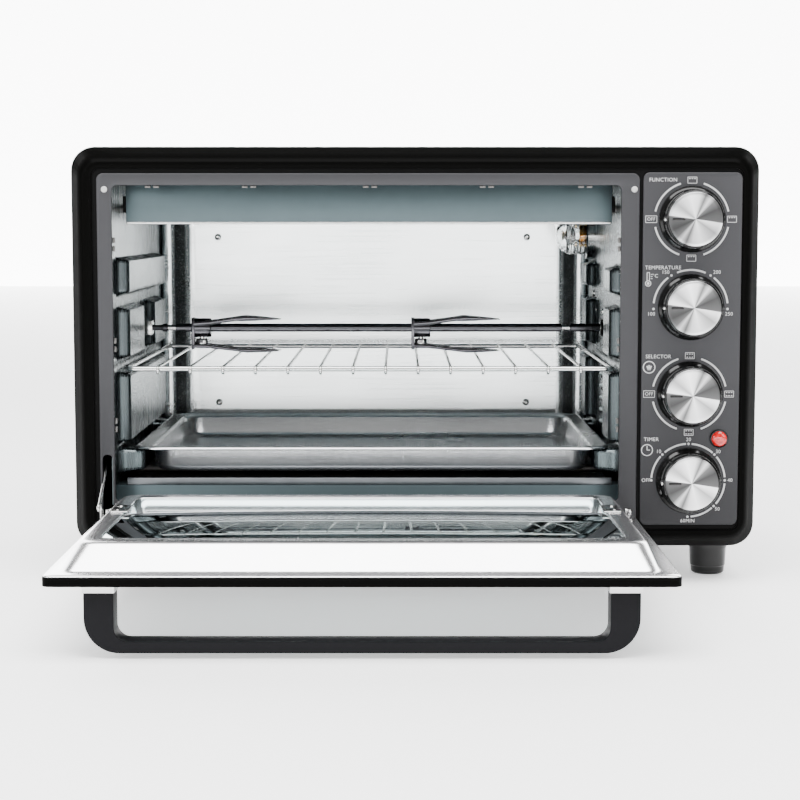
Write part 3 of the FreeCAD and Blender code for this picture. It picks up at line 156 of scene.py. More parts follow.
class Graph:
    """The nodes of one material, ending in one Principled shader."""

    def __init__(self, name, **constants):
        self.material = bpy.data.materials.new(name)
        self.material.use_nodes = True
        self.tree = self.material.node_tree
        self.shader = self.tree.nodes["Principled BSDF"]
        for socket, value in constants.items():
            self.shader.inputs[socket.replace("_", " ")].default_value = value

    def node(self, kind, settings=None, output=0, **inputs):
        """Add a node: its settings first, then the values or links of its sockets."""
        made = self.tree.nodes.new(kind)
        for name, value in (settings or {}).items():
            setattr(made, name, value)
        for name, value in inputs.items():
            socket = made.inputs[int(name[1:])] if name[1:].isdigit() else made.inputs[name]
            self.feed(socket, value)
        return Term(self, made.outputs[output])

    def feed(self, socket, value):
        if isinstance(value, Term):
            self.tree.links.new(value.socket, socket)
        else:
            socket.default_value = value

    def math(self, operation, first, second=0.0):
        return self.node("ShaderNodeMath", {"operation": operation}, _0=first, _1=second)

    def coordinates(self, stretch=(1, 1, 1), centre=(0, 0, 0)):
        """Object coordinates, moved so that centre is the origin, then stretched."""
        place = self.node("ShaderNodeTexCoord", output=3)
        moved = self.node("ShaderNodeVectorMath", {"operation": "SUBTRACT"}, _0=place, _1=centre)
        return self.node("ShaderNodeVectorMath", {"operation": "MULTIPLY"}, _0=moved, _1=stretch)

    def noise(self, scale, stretch=(1, 1, 1), detail=3.0, output=0):
        return self.node("ShaderNodeTexNoise", output=output, Vector=self.coordinates(stretch),
                         Scale=scale, Detail=detail)

    def ramp(self, value, stops):
        """Colours against a value: stops are (position, colour)."""
        made = self.tree.nodes.new("ShaderNodeValToRGB")
        made.color_ramp.elements[0].position = stops[0][0]
        made.color_ramp.elements[0].color = (*stops[0][1], 1)
        made.color_ramp.elements[1].position = stops[-1][0]
        made.color_ramp.elements[1].color = (*stops[-1][1], 1)
        for position, tone in stops[1:-1]:
            made.color_ramp.elements.new(position).color = (*tone, 1)
        self.feed(made.inputs[0], value)
        return Term(self, made.outputs[0])

    def mix(self, factor, first, second, blend="MIX"):
        """A colour between two others, or their product."""
        made = self.tree.nodes.new("ShaderNodeMix")
        made.data_type, made.blend_type = "RGBA", blend
        self.feed(made.inputs[0], factor)
        for number, tone in ((6, first), (7, second)):
            self.feed(made.inputs[number], tone if isinstance(tone, Term) else (*tone, 1))
        return Term(self, made.outputs[2])

    def surface(self, colour=None, roughness=None, height=None, depth=0.1, distance=0.0002):
        """Link what varies: base colour, roughness and the bump's height."""
        if colour is not None:
            self.feed(self.shader.inputs["Base Color"], colour)
        if roughness is not None:
            self.feed(self.shader.inputs["Roughness"], roughness)
        if height is not None:
            bump = self.node("ShaderNodeBump", Strength=depth, Distance=distance, Height=height)
            self.feed(self.shader.inputs["Normal"], bump)
        return self.material


def shade(tone, factor):
    return tuple(min(1.0, part * factor) for part in tone)


MATERIALS = {}


def enamel(name, tone, roughness, metallic, shine=0.5, grain=0.05):
    """Sprayed enamel: a fine orange peel and faint patches in its gloss."""
    graph = Graph(name, Metallic=metallic, Specular_IOR_Level=shine)
    patches = graph.noise(14.0, detail=4.0)
    peel = graph.noise(900.0, detail=2.0)
    tint = graph.mix(patches, shade(tone, 0.93), shade(tone, 1.07))
    return graph.surface(tint, roughness + 0.06 * (patches - 0.5), peel, grain, 0.0001)


def front_enamel(name, tone):
    """Metallic grey paint with a fine grain, and painted shade: lighter at the top, darker below.
    """
    graph = Graph(name, Metallic=0.6, Specular_IOR_Level=0.2)
    patches = graph.noise(9.0, detail=3.0)
    grain = graph.noise(2600.0, detail=1.0)
    place = graph.node("ShaderNodeSeparateXYZ", output=2,
                       _0=graph.coordinates((1, 1, 3.7), (0, 0, 0.045)))
    # painted shade: the base colour darkens towards the bottom and lightens at the top, standing in
    # for the reflection of the lights fading downwards
    light = graph.ramp(place, ((0.0, shade(tone, 0.55)), (0.45, tone), (1.0, shade(tone, 1.15))))
    tint = graph.mix(grain * 0.4, light, shade(tone, 0.55))
    return graph.surface(tint, 0.42 + 0.05 * (patches - 0.5), grain, 0.06, 0.0001)


def rolled_steel(name, tone, roughness, along, spangle=0.06, depth=0.08, painted_shade_bands=None):
    """Sheet metal with fine rolling lines along one axis and faint spangle.

    The bands of painted shade are (position, factor) stops that darken it from the front to the
    back.
    """
    graph = Graph(name, Metallic=1.0)
    stretch = [260.0, 260.0, 260.0]
    stretch["xyz".index(along)] = 4.0
    lines = graph.noise(3.0, stretch=tuple(stretch), detail=4.0)
    cells = graph.node("ShaderNodeTexVoronoi", output=0, Vector=graph.coordinates(), Scale=110.0)
    cloud = graph.noise(11.0, detail=4.0)
    light = graph.mix(cells, shade(tone, 1.0 - spangle), shade(tone, 1.0 + spangle))
    tint = graph.mix(cloud * 0.5, light, shade(tone, 0.88))
    # painted shade: the sheet is darkened in steps along its depth
    if painted_shade_bands:
        near, far = span("cavity_back_panel")[0].y, span("cavity_back_panel")[1].y
        part = graph.node("ShaderNodeSeparateXYZ", output=1, _0=graph.coordinates(
            (1, 1 / (far - near), 1), (0, near, 0)))
        painted_shade = graph.ramp(part, [(at, shade((0.97, 1.0, 1.0), light)) for at, light in painted_shade_bands])
        tint = graph.mix(1.0, tint, painted_shade, "MULTIPLY")
    rough = roughness + 0.10 * (lines - 0.5) + 0.08 * (cloud - 0.5)
    return graph.surface(tint, rough, lines, depth, 0.00012)


def tray_metal(name, tone):
    """Satin pressed aluminium with a sandy grain."""
    graph = Graph(name, Metallic=1.0)
    sand = graph.noise(1500.0, detail=2.0)
    smear = graph.noise(16.0, stretch=(0.35, 1, 1), detail=4.0)
    tint = graph.mix(smear, shade(tone, 0.88), shade(tone, 1.10))
    return graph.surface(tint, 0.26 + 0.08 * (smear - 0.5), sand, 0.14, 0.0001)


def plated(name, tone, roughness):
    """Bright plating with a little cloudiness."""
    graph = Graph(name, Metallic=1.0)
    cloud = graph.noise(120.0, detail=4.0)
    tint = graph.mix(cloud, shade(tone, 0.9), tone)
    return graph.surface(tint, roughness + 0.06 * cloud, cloud, 0.05, 0.0001)


def spun_metal(name, tone):
    """Spun aluminium: fine rings round each knob's own axis, and painted highlights in bright and
    dark sectors.
    """
    graph = Graph(name, Metallic=1.0)
    place = graph.node("ShaderNodeUVMap", {"uv_map": "turned"})
    parts = graph.tree.nodes.new("ShaderNodeSeparateXYZ")
    graph.feed(parts.inputs[0], place)
    radius, turn = Term(graph, parts.outputs[0]), Term(graph, parts.outputs[1])
    rings = graph.math("SINE", radius * 9000.0)
    scratch = graph.node("ShaderNodeTexNoise", {"noise_dimensions": "1D"}, W=radius * 5200.0,
                         Scale=1.0, Detail=2.0)
    # painted highlights: bright and dark sectors in the base colour stand in for the lights caught
    # by the spun face; they don't follow the lights
    painted_sheen_wobble = graph.node("ShaderNodeTexNoise", {"noise_dimensions": "1D"},
                        W=graph.math("SINE", turn * math.tau + 0.6), Scale=3.0, Detail=2.0)
    painted_sheen_turn = graph.math("FRACT", turn * 2.0 + 1.045 + 0.05 * (painted_sheen_wobble - 0.5))
    tint = graph.ramp(painted_sheen_turn, [(place, shade(tone, light)) for place, light in (
        (0.0, 0.22), (0.02, 0.10), (0.18, 0.055), (0.29, 0.13), (0.35, 0.60), (0.42, 0.12),
        (0.50, 0.75), (0.62, 1.0), (0.84, 0.36), (0.96, 0.9))])
    return graph.surface(tint, 0.26 + 0.14 * scratch, rings * 0.5 + scratch, 0.35, 0.00006)


def glass(name, tone, metallic=0.0):
    """Clear glass, or mirrored glass where metallic is above nought."""
    graph = Graph(name, Roughness=0.0, Transmission_Weight=1.0, IOR=1.45, Metallic=metallic)
    streaks = graph.noise(3.0, detail=2.0)
    return graph.surface(graph.mix(streaks, shade(tone, 0.97), tone))


def red_lens(name, tone):
    """A red lens, ribbed inside and lit a little by its lamp."""
    graph = Graph(name, Roughness=0.08, Coat_Weight=0.5, Emission_Strength=0.06)
    graph.shader.inputs["Emission Color"].default_value = (0.9, 0.02, 0.02, 1)
    cells = graph.node("ShaderNodeTexVoronoi", Vector=graph.coordinates(), Scale=420.0)
    return graph.surface(graph.mix(cells, shade(tone, 0.55), shade(tone, 1.5)),
                         height=cells, depth=0.3)


# painted shade on the back's sheet, from its flange to the recess's floor: dark down the recess's
# sloping sides, light on the flange and on the floor
BACK_PAINTED_SHADE = ((0.0, 1.0), (0.08, 0.9), (0.2, 0.10), (0.7, 0.14), (0.86, 0.8), (0.93, 1.0))
# each finish: what makes it, its tone or the name of a colour that a user may change, a factor
# on that tone and the rest of what it is made with
FINISHES = {
    "rim_enamel": (enamel, "rim", 1, (0.30, 0.0, 0.012)),
    "casing_enamel": (enamel, "rim", 1.8, (0.42, 0.0, 0.06, 0.25)),
    "handle_enamel": (enamel, "handle", 1, (0.36, 0.0, 0.06, 0.04)),
    "black_void": (enamel, (0.002, 0.002, 0.002), 1, (0.6, 0.0, 0.05)),
    "black_gloss": (enamel, "plastic", 1, (0.14, 0.0, 0.3, 0.02)),
    "black_rubber": (enamel, (0.003, 0.003, 0.003), 1, (0.62, 0.0, 0.05, 0.5)),
    "pale_rubber": (enamel, (0.42, 0.42, 0.41), 1, (0.5, 0.0, 0.5, 0.2)),
    "moulded_cream": (enamel, (0.62, 0.60, 0.54), 1, (0.5, 0.0, 0.5, 0.2)),
    "white_ceramic": (enamel, (0.78, 0.76, 0.70), 1, (0.45, 0.0, 0.5, 0.3)),
    "printing": (enamel, "print_white", 1, (0.45, 0.0, 0.5, 0.1)),
    "front_enamel": (front_enamel, "face", 1, ()),
    "cavity_steel": (rolled_steel, "cavity", 1, (0.30, "z")),
    "wall_steel": (rolled_steel, "cavity", 0.27, (0.27, "z")),
    "dull_steel": (rolled_steel, (0.075, 0.100, 0.108), 1, (0.42, "x", 0.03, 0.03)),
    "back_steel": (rolled_steel, (0.97, 0.98, 0.98), 1, (0.26, "x", 0.01, 0.08, BACK_PAINTED_SHADE)),
    "door_steel": (rolled_steel, "door", 1, (0.24, "x", 0.02, 0.05)),
    "plate_steel": (rolled_steel, (0.15, 0.16, 0.17), 1, (0.34, "x", 0.12)),
    "tray_metal": (tray_metal, "tray", 1, ()),
    "bright_plating": (plated, "plating", 1, (0.12,)),
    "fork_plating": (plated, "fork", 1, (0.14,)),
    "brass_plating": (plated, "brass", 1, (0.18,)),
    "heater_oxide": (plated, (0.16, 0.155, 0.15), 1, (0.42,)),
    "spun_metal": (spun_metal, "knob_face", 1, ()),
    "door_glass": (glass, (0.74, 0.84, 0.85), 1, (0.85,)),
    "lamp_glass": (glass, (0.97, 0.98, 0.98), 1, ()),
    "red_lens": (red_lens, "lens_red", 1, ()),
}


def finish_of(name):
    """The named material, made on first use."""
    if name not in MATERIALS:
        make, tone, factor, rest = FINISHES[name]
        if isinstance(tone, str):
            tone = getattr(colours(), tone)
        MATERIALS[name] = make(name, shade(tone, factor), *rest)
    return MATERIALS[name]


# ------------------------------------------------------------------ mesh helpers
AXES = {
    # each set of columns carries (u, v, w) to (x, y, z)
    "flat": Matrix(((1, 0, 0), (0, 1, 0), (0, 0, 1))).to_4x4(),
    "front": Matrix(((1, 0, 0), (0, 0, 1), (0, 1, 0))).to_4x4(),
    "side": Matrix(((0, 0, 1), (1, 0, 0), (0, 1, 0))).to_4x4(),
}


def ring(bm, facing, rect, level, radius, segments=8):
    """The edges of a round-cornered rectangle: rect is (u low, u high, v low, v high)."""
    low_u, high_u, low_v, high_v = rect
    lie = AXES[facing]
    shift = Matrix.Translation(((low_u + high_u) / 2, (low_v + high_v) / 2, level))
    stretch = Matrix.Diagonal((high_u - low_u, high_v - low_v, 1, 1))
    verts = bmesh.ops.create_grid(bm, x_segments=1, y_segments=1, size=0.5,
                                  matrix=lie @ shift @ stretch)["verts"]
    made = bmesh.ops.bevel(bm, geom=verts, offset=radius, offset_type="OFFSET",
                           segments=segments, profile=0.5, affect="VERTICES", material=-1)
    whole = made["verts"][0].link_faces[0]
    edges = list(whole.edges)
    bmesh.ops.delete(bm, geom=[whole], context="FACES_ONLY")
    return edges


def strip(bm, rings):
    """Join each ring to the next."""
    for first, second in zip(rings, rings[1:]):
        bmesh.ops.bridge_loops(bm, edges=first + second)


def fill(bm, edges):
    bmesh.ops.edgeloop_fill(bm, edges=edges)


def soften(bm, edges, width, segments=3):
    bmesh.ops.bevel(bm, geom=[edge for edge in edges if edge.is_valid], offset=width,
                    offset_type="OFFSET", segments=segments, profile=0.5, affect="EDGES",
                    material=-1, clamp_overlap=True)


def turned(bm, facing, centre, profile, sides=96):
    """A turned shape: profile is a list of (radius, distance along the axis)."""
    lie = AXES[facing]
    place = Matrix.Translation(centre) @ lie
    verts = [bm.verts.new(place @ Vector((radius, 0, along))) for radius, along in profile]
    edges = [bm.edges.new(pair) for pair in zip(verts, verts[1:])]
    axis = lie @ Vector((0, 0, 1))
    bmesh.ops.spin(bm, geom=verts + edges, cent=centre, axis=axis, angle=math.tau,
                   steps=sides, use_merge=True)
    bmesh.ops.remove_doubles(bm, verts=bm.verts, dist=1e-6)
    bmesh.ops.recalc_face_normals(bm, faces=bm.faces)


def block(bm, low, high, width=0.0, segments=2):
    """A box with rounded edges."""
    middle = (Vector(low) + Vector(high)) / 2
    extent = Vector(high) - Vector(low)
    place = Matrix.Translation(middle) @ Matrix.Diagonal((*extent, 1))
    verts = bmesh.ops.create_cube(bm, size=1.0, matrix=place)["verts"]
    if width:
        edges = list({edge for vert in verts for edge in vert.link_edges})
        soften(bm, edges, width, segments)


def rounded_path(points, radius, steps=6):
    """A path whose corners are arcs."""
    points = [Vector(point) for point in points]
    path = [points[0]]
    for before, corner, after in zip(points, points[1:], points[2:]):
        into, out = (corner - before).normalized(), (after - corner).normalized()
        turn = into.angle(out)
        if turn < 0.01:
            continue
        reach = min(radius * math.tan(turn / 2), (corner - before).length * 0.49,
                    (after - corner).length * 0.49)
        start, end = corner - into * reach, corner + out * reach
        for step in range(steps + 1):
            part = step / steps
            path.append(start * (1 - part) ** 2 + corner * 2 * part * (1 - part)
                        + end * part ** 2)
    path.append(points[-1])
    return path


def wire(bm, points, radius, cyclic=False, sides=4):
    """A round wire along a path, joined into the mesh being made."""
    curve = bpy.data.curves.new("wire", "CURVE")
    curve.dimensions = "3D"
    curve.bevel_depth = radius
    curve.bevel_resolution = sides
    curve.use_fill_caps = not cyclic
    spline = curve.splines.new("POLY")
    spline.points.add(len(points) - 1)
    for point, place in zip(spline.points, points):
        point.co = (*place, 1)
    spline.use_cyclic_u = cyclic
    holder = bpy.data.objects.new("wire", curve)
    mesh = bpy.data.meshes.new_from_object(holder)
    bm.from_mesh(mesh)
    bpy.data.objects.remove(holder)
    bpy.data.curves.remove(curve)
    bpy.data.meshes.remove(mesh)


def save(bm, name, finish, body, stands_for=(), angle=35, closed=True):
    """Turn a mesh into a named piece that rides on a body."""
    if closed:
        bmesh.ops.remove_doubles(bm, verts=bm.verts, dist=1e-6)
        bmesh.ops.recalc_face_normals(bm, faces=bm.faces)
    mesh = bpy.data.meshes.new(name)
    bm.to_mesh(mesh)
    bm.free()
    mesh.shade_smooth()
    mesh.set_sharp_from_angle(angle=math.radians(angle))
    mesh.materials.append(finish_of(finish))
    piece = bpy.data.objects.new(name, mesh)
    bpy.context.scene.collection.objects.link(piece)
    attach(piece, body)
    if stands_for:
        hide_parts(*stands_for)
    return piece


def soft_copy(node, finish, body, width, segments=2, angle=30):
    """A copy of a node with its sharp edges rounded."""
    bm = bmesh.new()
    bm.from_mesh(NODES[node].data)
    bmesh.ops.remove_doubles(bm, verts=bm.verts, dist=1e-6)
    bmesh.ops.dissolve_limit(bm, angle_limit=math.radians(2), verts=bm.verts, edges=bm.edges)
    sharp = [edge for edge in bm.edges
             if edge.is_manifold and edge.calc_face_angle(0) > math.radians(angle)]
    soften(bm, sharp, width, segments)
    return save(bm, node + "_shape", finish, body, (node,))


def solidify(piece, thickness, offset=-1.0):
    wall = piece.modifiers.new("wall", "SOLIDIFY")
    wall.thickness = thickness
    wall.offset = offset
    wall.use_even_offset = True
    return wall


# ------------------------------------------------------------------ front
def grown(rect, amount):
    """A rectangle made larger on every side."""
    return (rect[0] - amount, rect[1] + amount, rect[2] - amount, rect[3] + amount)


def orient(bm, towards):
    """Turn an open sheet's faces so that, taken together, they face one way."""
    bmesh.ops.recalc_face_normals(bm, faces=bm.faces)
    if sum(face.normal.dot(Vector(towards)) * face.calc_area() for face in bm.faces) < 0:
        bmesh.ops.reverse_faces(bm, faces=bm.faces)


def rounded_edge(bm, rect, radius, near, far, width, inwards):
    """The side and softened edge of a plate or of an opening in it; its front ring."""
    rings = [ring(bm, "front", rect, far, radius)]
    for part in (0, 1, 2, 3):
        turn = math.radians(30 * part)
        inset = inwards * width * (1 - math.cos(turn))
        rings.append(ring(bm, "front", grown(rect, -inset),
                          near + width * (1 - math.sin(turn)), radius - inset))
    strip(bm, rings)
    return rings[-1]


def build_front_frame():
    """The bevelled rim: flat band, glossy bevels and a short skirt."""
    low, high = span("front_frame")
    outer = (low.x, high.x, low.z, high.z)
    flat = (low.x + 9.5 * MM, high.x - 9.5 * MM, low.z + 9.7 * MM, high.z - 11.6 * MM)
    inner = (flat[0] + 7.2 * MM, flat[1] - 4.0 * MM, flat[2] + 4.3 * MM, flat[3] - 4.9 * MM)
    bm = bmesh.new()
    rings = [ring(bm, "front", outer, high.y, 18 * MM),
             ring(bm, "front", flat, low.y, 13 * MM),
             ring(bm, "front", inner, low.y, 6 * MM),
             ring(bm, "front", inner, low.y + 1.5 * MM, 6 * MM)]
    strip(bm, rings)
    soften(bm, rings[1], 1.0 * MM)
    soften(bm, rings[2], 0.35 * MM, 2)
    orient(bm, (0, -1, 0))
    piece = save(bm, "front_rim", "rim_enamel", "root", ("front_frame",),
                 closed=False)
    solidify(piece, 1.2 * MM)


def plate_piece(name, node, openings):
    """A pressed front plate with softened edges and round-cornered openings."""
    low, high = span(node)
    bm = bmesh.new()
    width = sizes().edge
    loops = rounded_edge(bm, (low.x, high.x, low.z, high.z), 5 * MM, low.y, high.y, width, 1)
    for rect, radius in openings:
        loops += rounded_edge(bm, rect, radius, low.y, high.y, width, -1)
    bmesh.ops.triangle_fill(bm, edges=loops, use_beauty=True, use_dissolve=False)
    orient(bm, (0, -1, 0))
    return save(bm, name, "front_enamel", "root", (node,), closed=False)


def screw_head(bm, facing, centre, radius, height, sides=32):
    """A domed screw head with a round recess in its middle, standing out along the facing's w axis.
    """
    turned(bm, facing, centre,
           [(0, height * 0.55), (radius * 0.34, height * 0.6), (radius * 0.38, height),
            (radius * 0.7, height * 0.88), (radius * 0.95, height * 0.45), (radius, 0)], sides)


def build_front_plates():
    """The grey door seat and the control panel, with the dark gaps between them."""
    mouth = (WALL_LEFT + 1.7 * MM, WALL_RIGHT - 5 * MM, FLOOR_Z + 1.7 * MM,
             CEILING_Z - 1.7 * MM)
    slot_left = SEAT_LOW.x + 1.9 * MM
    slot = (slot_left, slot_left + 7.6 * MM, 50 * MM, 99.5 * MM)
    plate_piece("door_seat_plate", "door_seat", [(mouth, 4 * MM), (slot, 3.6 * MM)])
    plate_piece("control_plate", "control_panel", [])
    # a bright hem where the mouth's edge is folded back, with the tabs that hold it
    hem = grown(mouth, 0.1 * MM)
    bm = bmesh.new()
    rings = [ring(bm, "front", rect, FRONT + back, 4 * MM) for rect, back in (
        (hem, 1.6 * MM), (hem, 3.5 * MM),
        ((WALL_LEFT, WALL_RIGHT, FLOOR_Z, CEILING_Z), 4.5 * MM),
        (grown((WALL_LEFT, WALL_RIGHT, FLOOR_Z, CEILING_Z), 0.8 * MM), 4.5 * MM),
        (grown(hem, 1.2 * MM), 1.6 * MM))]
    strip(bm, rings + rings[:1])
    save(bm, "mouth_hem", "bright_plating", "root")
    bm = bmesh.new()
    for x in (-198, -125, -34, 54, 128):
        for side in (-3.2, 3.2):
            block(bm, ((x + side - 2.2) * MM, FRONT + 2 * MM, CEILING_Z - 3.6 * MM),
                  ((x + side + 2.2) * MM, FRONT + 5 * MM, CEILING_Z - 1.6 * MM), 0.6 * MM)
    for z in (259, 183, 122):
        for x, inward in ((mouth[0], 1), (mouth[1], -1)):
            for side in (-3.2, 3.2):
                block(bm, (min(x, x + 1.9 * MM * inward), FRONT + 2 * MM, (z + side - 2.2) * MM),
                      (max(x, x + 1.9 * MM * inward), FRONT + 5 * MM, (z + side + 2.2) * MM),
                      0.6 * MM)
    save(bm, "mouth_tabs", "heater_oxide", "root")
    bm = bmesh.new()
    screw_head(bm, "front", (SEAT_HIGH.x - 4.4 * MM, FRONT - 0.02 * MM, 51.6 * MM), 2.6 * MM,
               -1.1 * MM)
    save(bm, "seat_screw", "bright_plating", "root")
    bm = bmesh.new()
    low, high = span("door_bumpers")
    for x in (low.x + 2.3 * MM, high.x - 2.3 * MM):
        turned(bm, "front", (x, FRONT, (low.z + high.z) / 2),
               [(2.3 * MM, 0.4 * MM), (2.3 * MM, -0.4 * MM), (1.8 * MM, -0.9 * MM),
                (0.9 * MM, -1.1 * MM), (0, -1.1 * MM)], 32)
    save(bm, "door_bumper_pads", "pale_rubber", "root", ("door_bumpers",))


def arc_print(bm, centre, radius, start, end, width, y):
    """A flat printed arc: angles are clockwise from the top, in degrees."""
    path = []
    steps = max(2, int((end - start) / 3))
    for step in range(steps + 1):
        turn = math.radians(start + (end - start) * step / steps)
        path.append((math.sin(turn), math.cos(turn)))
    inner = [bm.verts.new((centre[0] + s * (radius - width / 2), y,
                           centre[1] + c * (radius - width / 2))) for s, c in path]
    edges = [bm.edges.new(pair) for pair in zip(inner, inner[1:])]
    out = bmesh.ops.extrude_edge_only(bm, edges=edges)["geom"]
    grow = (radius + width / 2) / (radius - width / 2)
    for vert in (item for item in out if isinstance(item, bmesh.types.BMVert)):
        vert.co.x = centre[0] + (vert.co.x - centre[0]) * grow
        vert.co.z = centre[1] + (vert.co.z - centre[1]) * grow


def dot_print(bm, x, z, radius, y):
    lie = Matrix.Translation((x, y, z)) @ Matrix.Rotation(math.pi / 2, 4, "X")
    bmesh.ops.create_circle(bm, cap_ends=True, segments=20, radius=radius, matrix=lie)


def bar_print(bm, x0, z0, x1, z1, width, y):
    """A straight printed stroke."""
    start, end = Vector((x0, y, z0)), Vector((x1, y, z1))
    along = (end - start).normalized()
    across = Vector((-along.z, 0, along.x)) * width / 2
    bm.faces.new([bm.verts.new(point) for point in
                  (start - across, end - across, end + across, start + across)])


def outline_print(bm, x, z, width, height, line, y):
    """A small printed box."""
    left, right = x - width / 2, x + width / 2
    low, high = z - height / 2, z + height / 2
    for ends in ((left, low, right, low), (left, high, right, high),
                 (left, low, left, high), (right, low, right, high)):
        bar_print(bm, *ends, line, y)


def text_print(words, x, z, height, align, y):
    """Printed words as a flat mesh, their middle or left end at x."""
    letters = bpy.data.curves.new("letters", "FONT")
    letters.body = words
    letters.size = height
    letters.align_x = align
    letters.align_y = "CENTER"
    letters.resolution_u = 3
    letters.space_character = 1.05
    holder = bpy.data.objects.new("letters", letters)
    mesh = bpy.data.meshes.new_from_object(holder)
    mesh.transform(Matrix.Translation((x, y, z)) @ Matrix.Rotation(math.pi / 2, 4, "X"))
    bpy.data.objects.remove(holder)
    bpy.data.curves.remove(letters)
    return mesh


QUARTERS = ((-78, -18), (18, 78), (102, 161), (-161, -102))
KNOBS = {
    # words, their left end and height from the knob's middle in mm, and the arcs
    "function": ("FUNCTION", (-32.4, 29.4), QUARTERS),
    "temperature": ("TEMPERATURE", (-34.7, 29.6), ((-84, -38), (-22, 23), (38, 84))),
    "selector": ("SELECTOR", (-33.5, 28.4), QUARTERS),
    "timer": ("TIMER", (-34.0, 31.3), ((-86, -49), (-40, -4), (5, 41), (50, 85), (95, 130),
                                        (139, 175))),
}


def knob_centre(control):
    low, high = span(control + "_knob")
    return (low.x + high.x) / 2, (low.z + high.z) / 2


def build_printing():
    """White printing on the control panel: titles, arcs, marks, numbers and pictograms."""
    y = PANEL_FRONT - 0.06 * MM
    radius, line = sizes().dial_radius, sizes().dial_line
    bm = bmesh.new()
    words = []

    def at(control, dx, dz):
        x, z = knob_centre(control)
        return x + dx * MM, z + dz * MM

    for control, (title, place, arcs) in KNOBS.items():
        for start, end in arcs:
            arc_print(bm, knob_centre(control), radius, start, end, line, y)
        words.append((title, *at(control, *place), 4.0 * MM, "LEFT"))
    for control in ("function", "selector"):
        for dx, dz in ((0, 29.2), (30.2, 0), (0, -29.2)):
            x, z = at(control, dx, dz)
            outline_print(bm, x, z, 6.8 * MM, 4.6 * MM, 0.4 * MM, y)
            for step in (-1.9, 0, 1.9):
                for level in ((1.2,) if control == "function" else (1.2, -1.2)):
                    bar_print(bm, x + (step - 0.55) * MM, z + level * MM,
                              x + (step + 0.55) * MM, z + level * MM, 0.6 * MM, y)
        x, z = at(control, -30.5, 0)
        outline_print(bm, x, z, 8.4 * MM, 5.0 * MM, 0.4 * MM, y)
        words.append(("OFF", x, z, 3.5 * MM, "CENTER"))
    for turn, label, dx, dz in ((-93, "100", -29.6, -5.3), (-31.7, "150", -19.2, 26.2),
                                (31.7, "200", 19.6, 26.2), (93, "250", 29.1, -5.3)):
        x, z = knob_centre("temperature")
        turn = math.radians(turn)
        dot_print(bm, x + math.sin(turn) * radius, z + math.cos(turn) * radius, 0.9 * MM, y)
        words.append((label, *at("temperature", dx, dz), 3.8 * MM, "CENTER"))
    words.append(("°C", *at("temperature", -26.9, 23.4), 3.8 * MM, "CENTER"))
    for number, label in enumerate(("OFF", "10", "20", "30", "40", "50", "60MIN")):
        turn = math.radians(-90 + 45 * number)
        x, z = knob_centre("timer")
        sine, cosine = math.sin(turn), math.cos(turn)
        dot_print(bm, x + sine * radius, z + cosine * radius, 0.9 * MM, y)
        words.append((label, x + sine * (radius + 4.0 * MM),
                      z + cosine * (radius + 3.2 * MM), 3.8 * MM, "CENTER"))
    build_pictograms(bm, at, y)
    for label, x, z, height, align in words:
        mesh = text_print(label, x, z, height, align, y)
        bm.from_mesh(mesh)
        bpy.data.meshes.remove(mesh)
    for face in bm.faces:
        face.normal_update()
        if face.normal.y > 0:
            face.normal_flip()
    save(bm, "panel_printing", "printing", "root", closed=False)


def build_pictograms(bm, at, y):
    """A thermometer, a flame in a circle and a clock."""
    x, z = at("temperature", -32.2, 21.0)
    arc_print(bm, (x, z - 3.2 * MM), 2.0 * MM, 0, 360, 0.6 * MM, y)
    dot_print(bm, x, z - 3.2 * MM, 1.0 * MM, y)
    for side in (-0.9, 0.9):
        bar_print(bm, x + side * MM, z - 1.4 * MM, x + side * MM, z + 5 * MM, 0.5 * MM, y)
    bar_print(bm, x - 1 * MM, z + 5 * MM, x + 1 * MM, z + 5 * MM, 0.5 * MM, y)
    for step in range(3):
        level = z + (0.4 + 1.6 * step) * MM
        bar_print(bm, x + 1.8 * MM, level, x + 3.2 * MM, level, 0.4 * MM, y)
    x, z = at("selector", -30.7, 20.4)
    arc_print(bm, (x, z), 4.4 * MM, 0, 360, 0.7 * MM, y)
    for turn in (-38, 0, 38):
        lean = math.radians(turn)
        bar_print(bm, x + math.sin(lean) * 0.6 * MM, z - 2.2 * MM,
                  x + math.sin(lean) * 2.6 * MM, z - 1.2 * MM + math.cos(lean) * 2.8 * MM,
                  1.1 * MM, y)
    x, z = at("timer", -31.5, 23.2)
    arc_print(bm, (x, z), 4.2 * MM, 0, 360, 0.6 * MM, y)
    bar_print(bm, x, z, x, z + 3.2 * MM, 0.5 * MM, y)
    bar_print(bm, x, z, x + 2.2 * MM, z, 0.5 * MM, y)


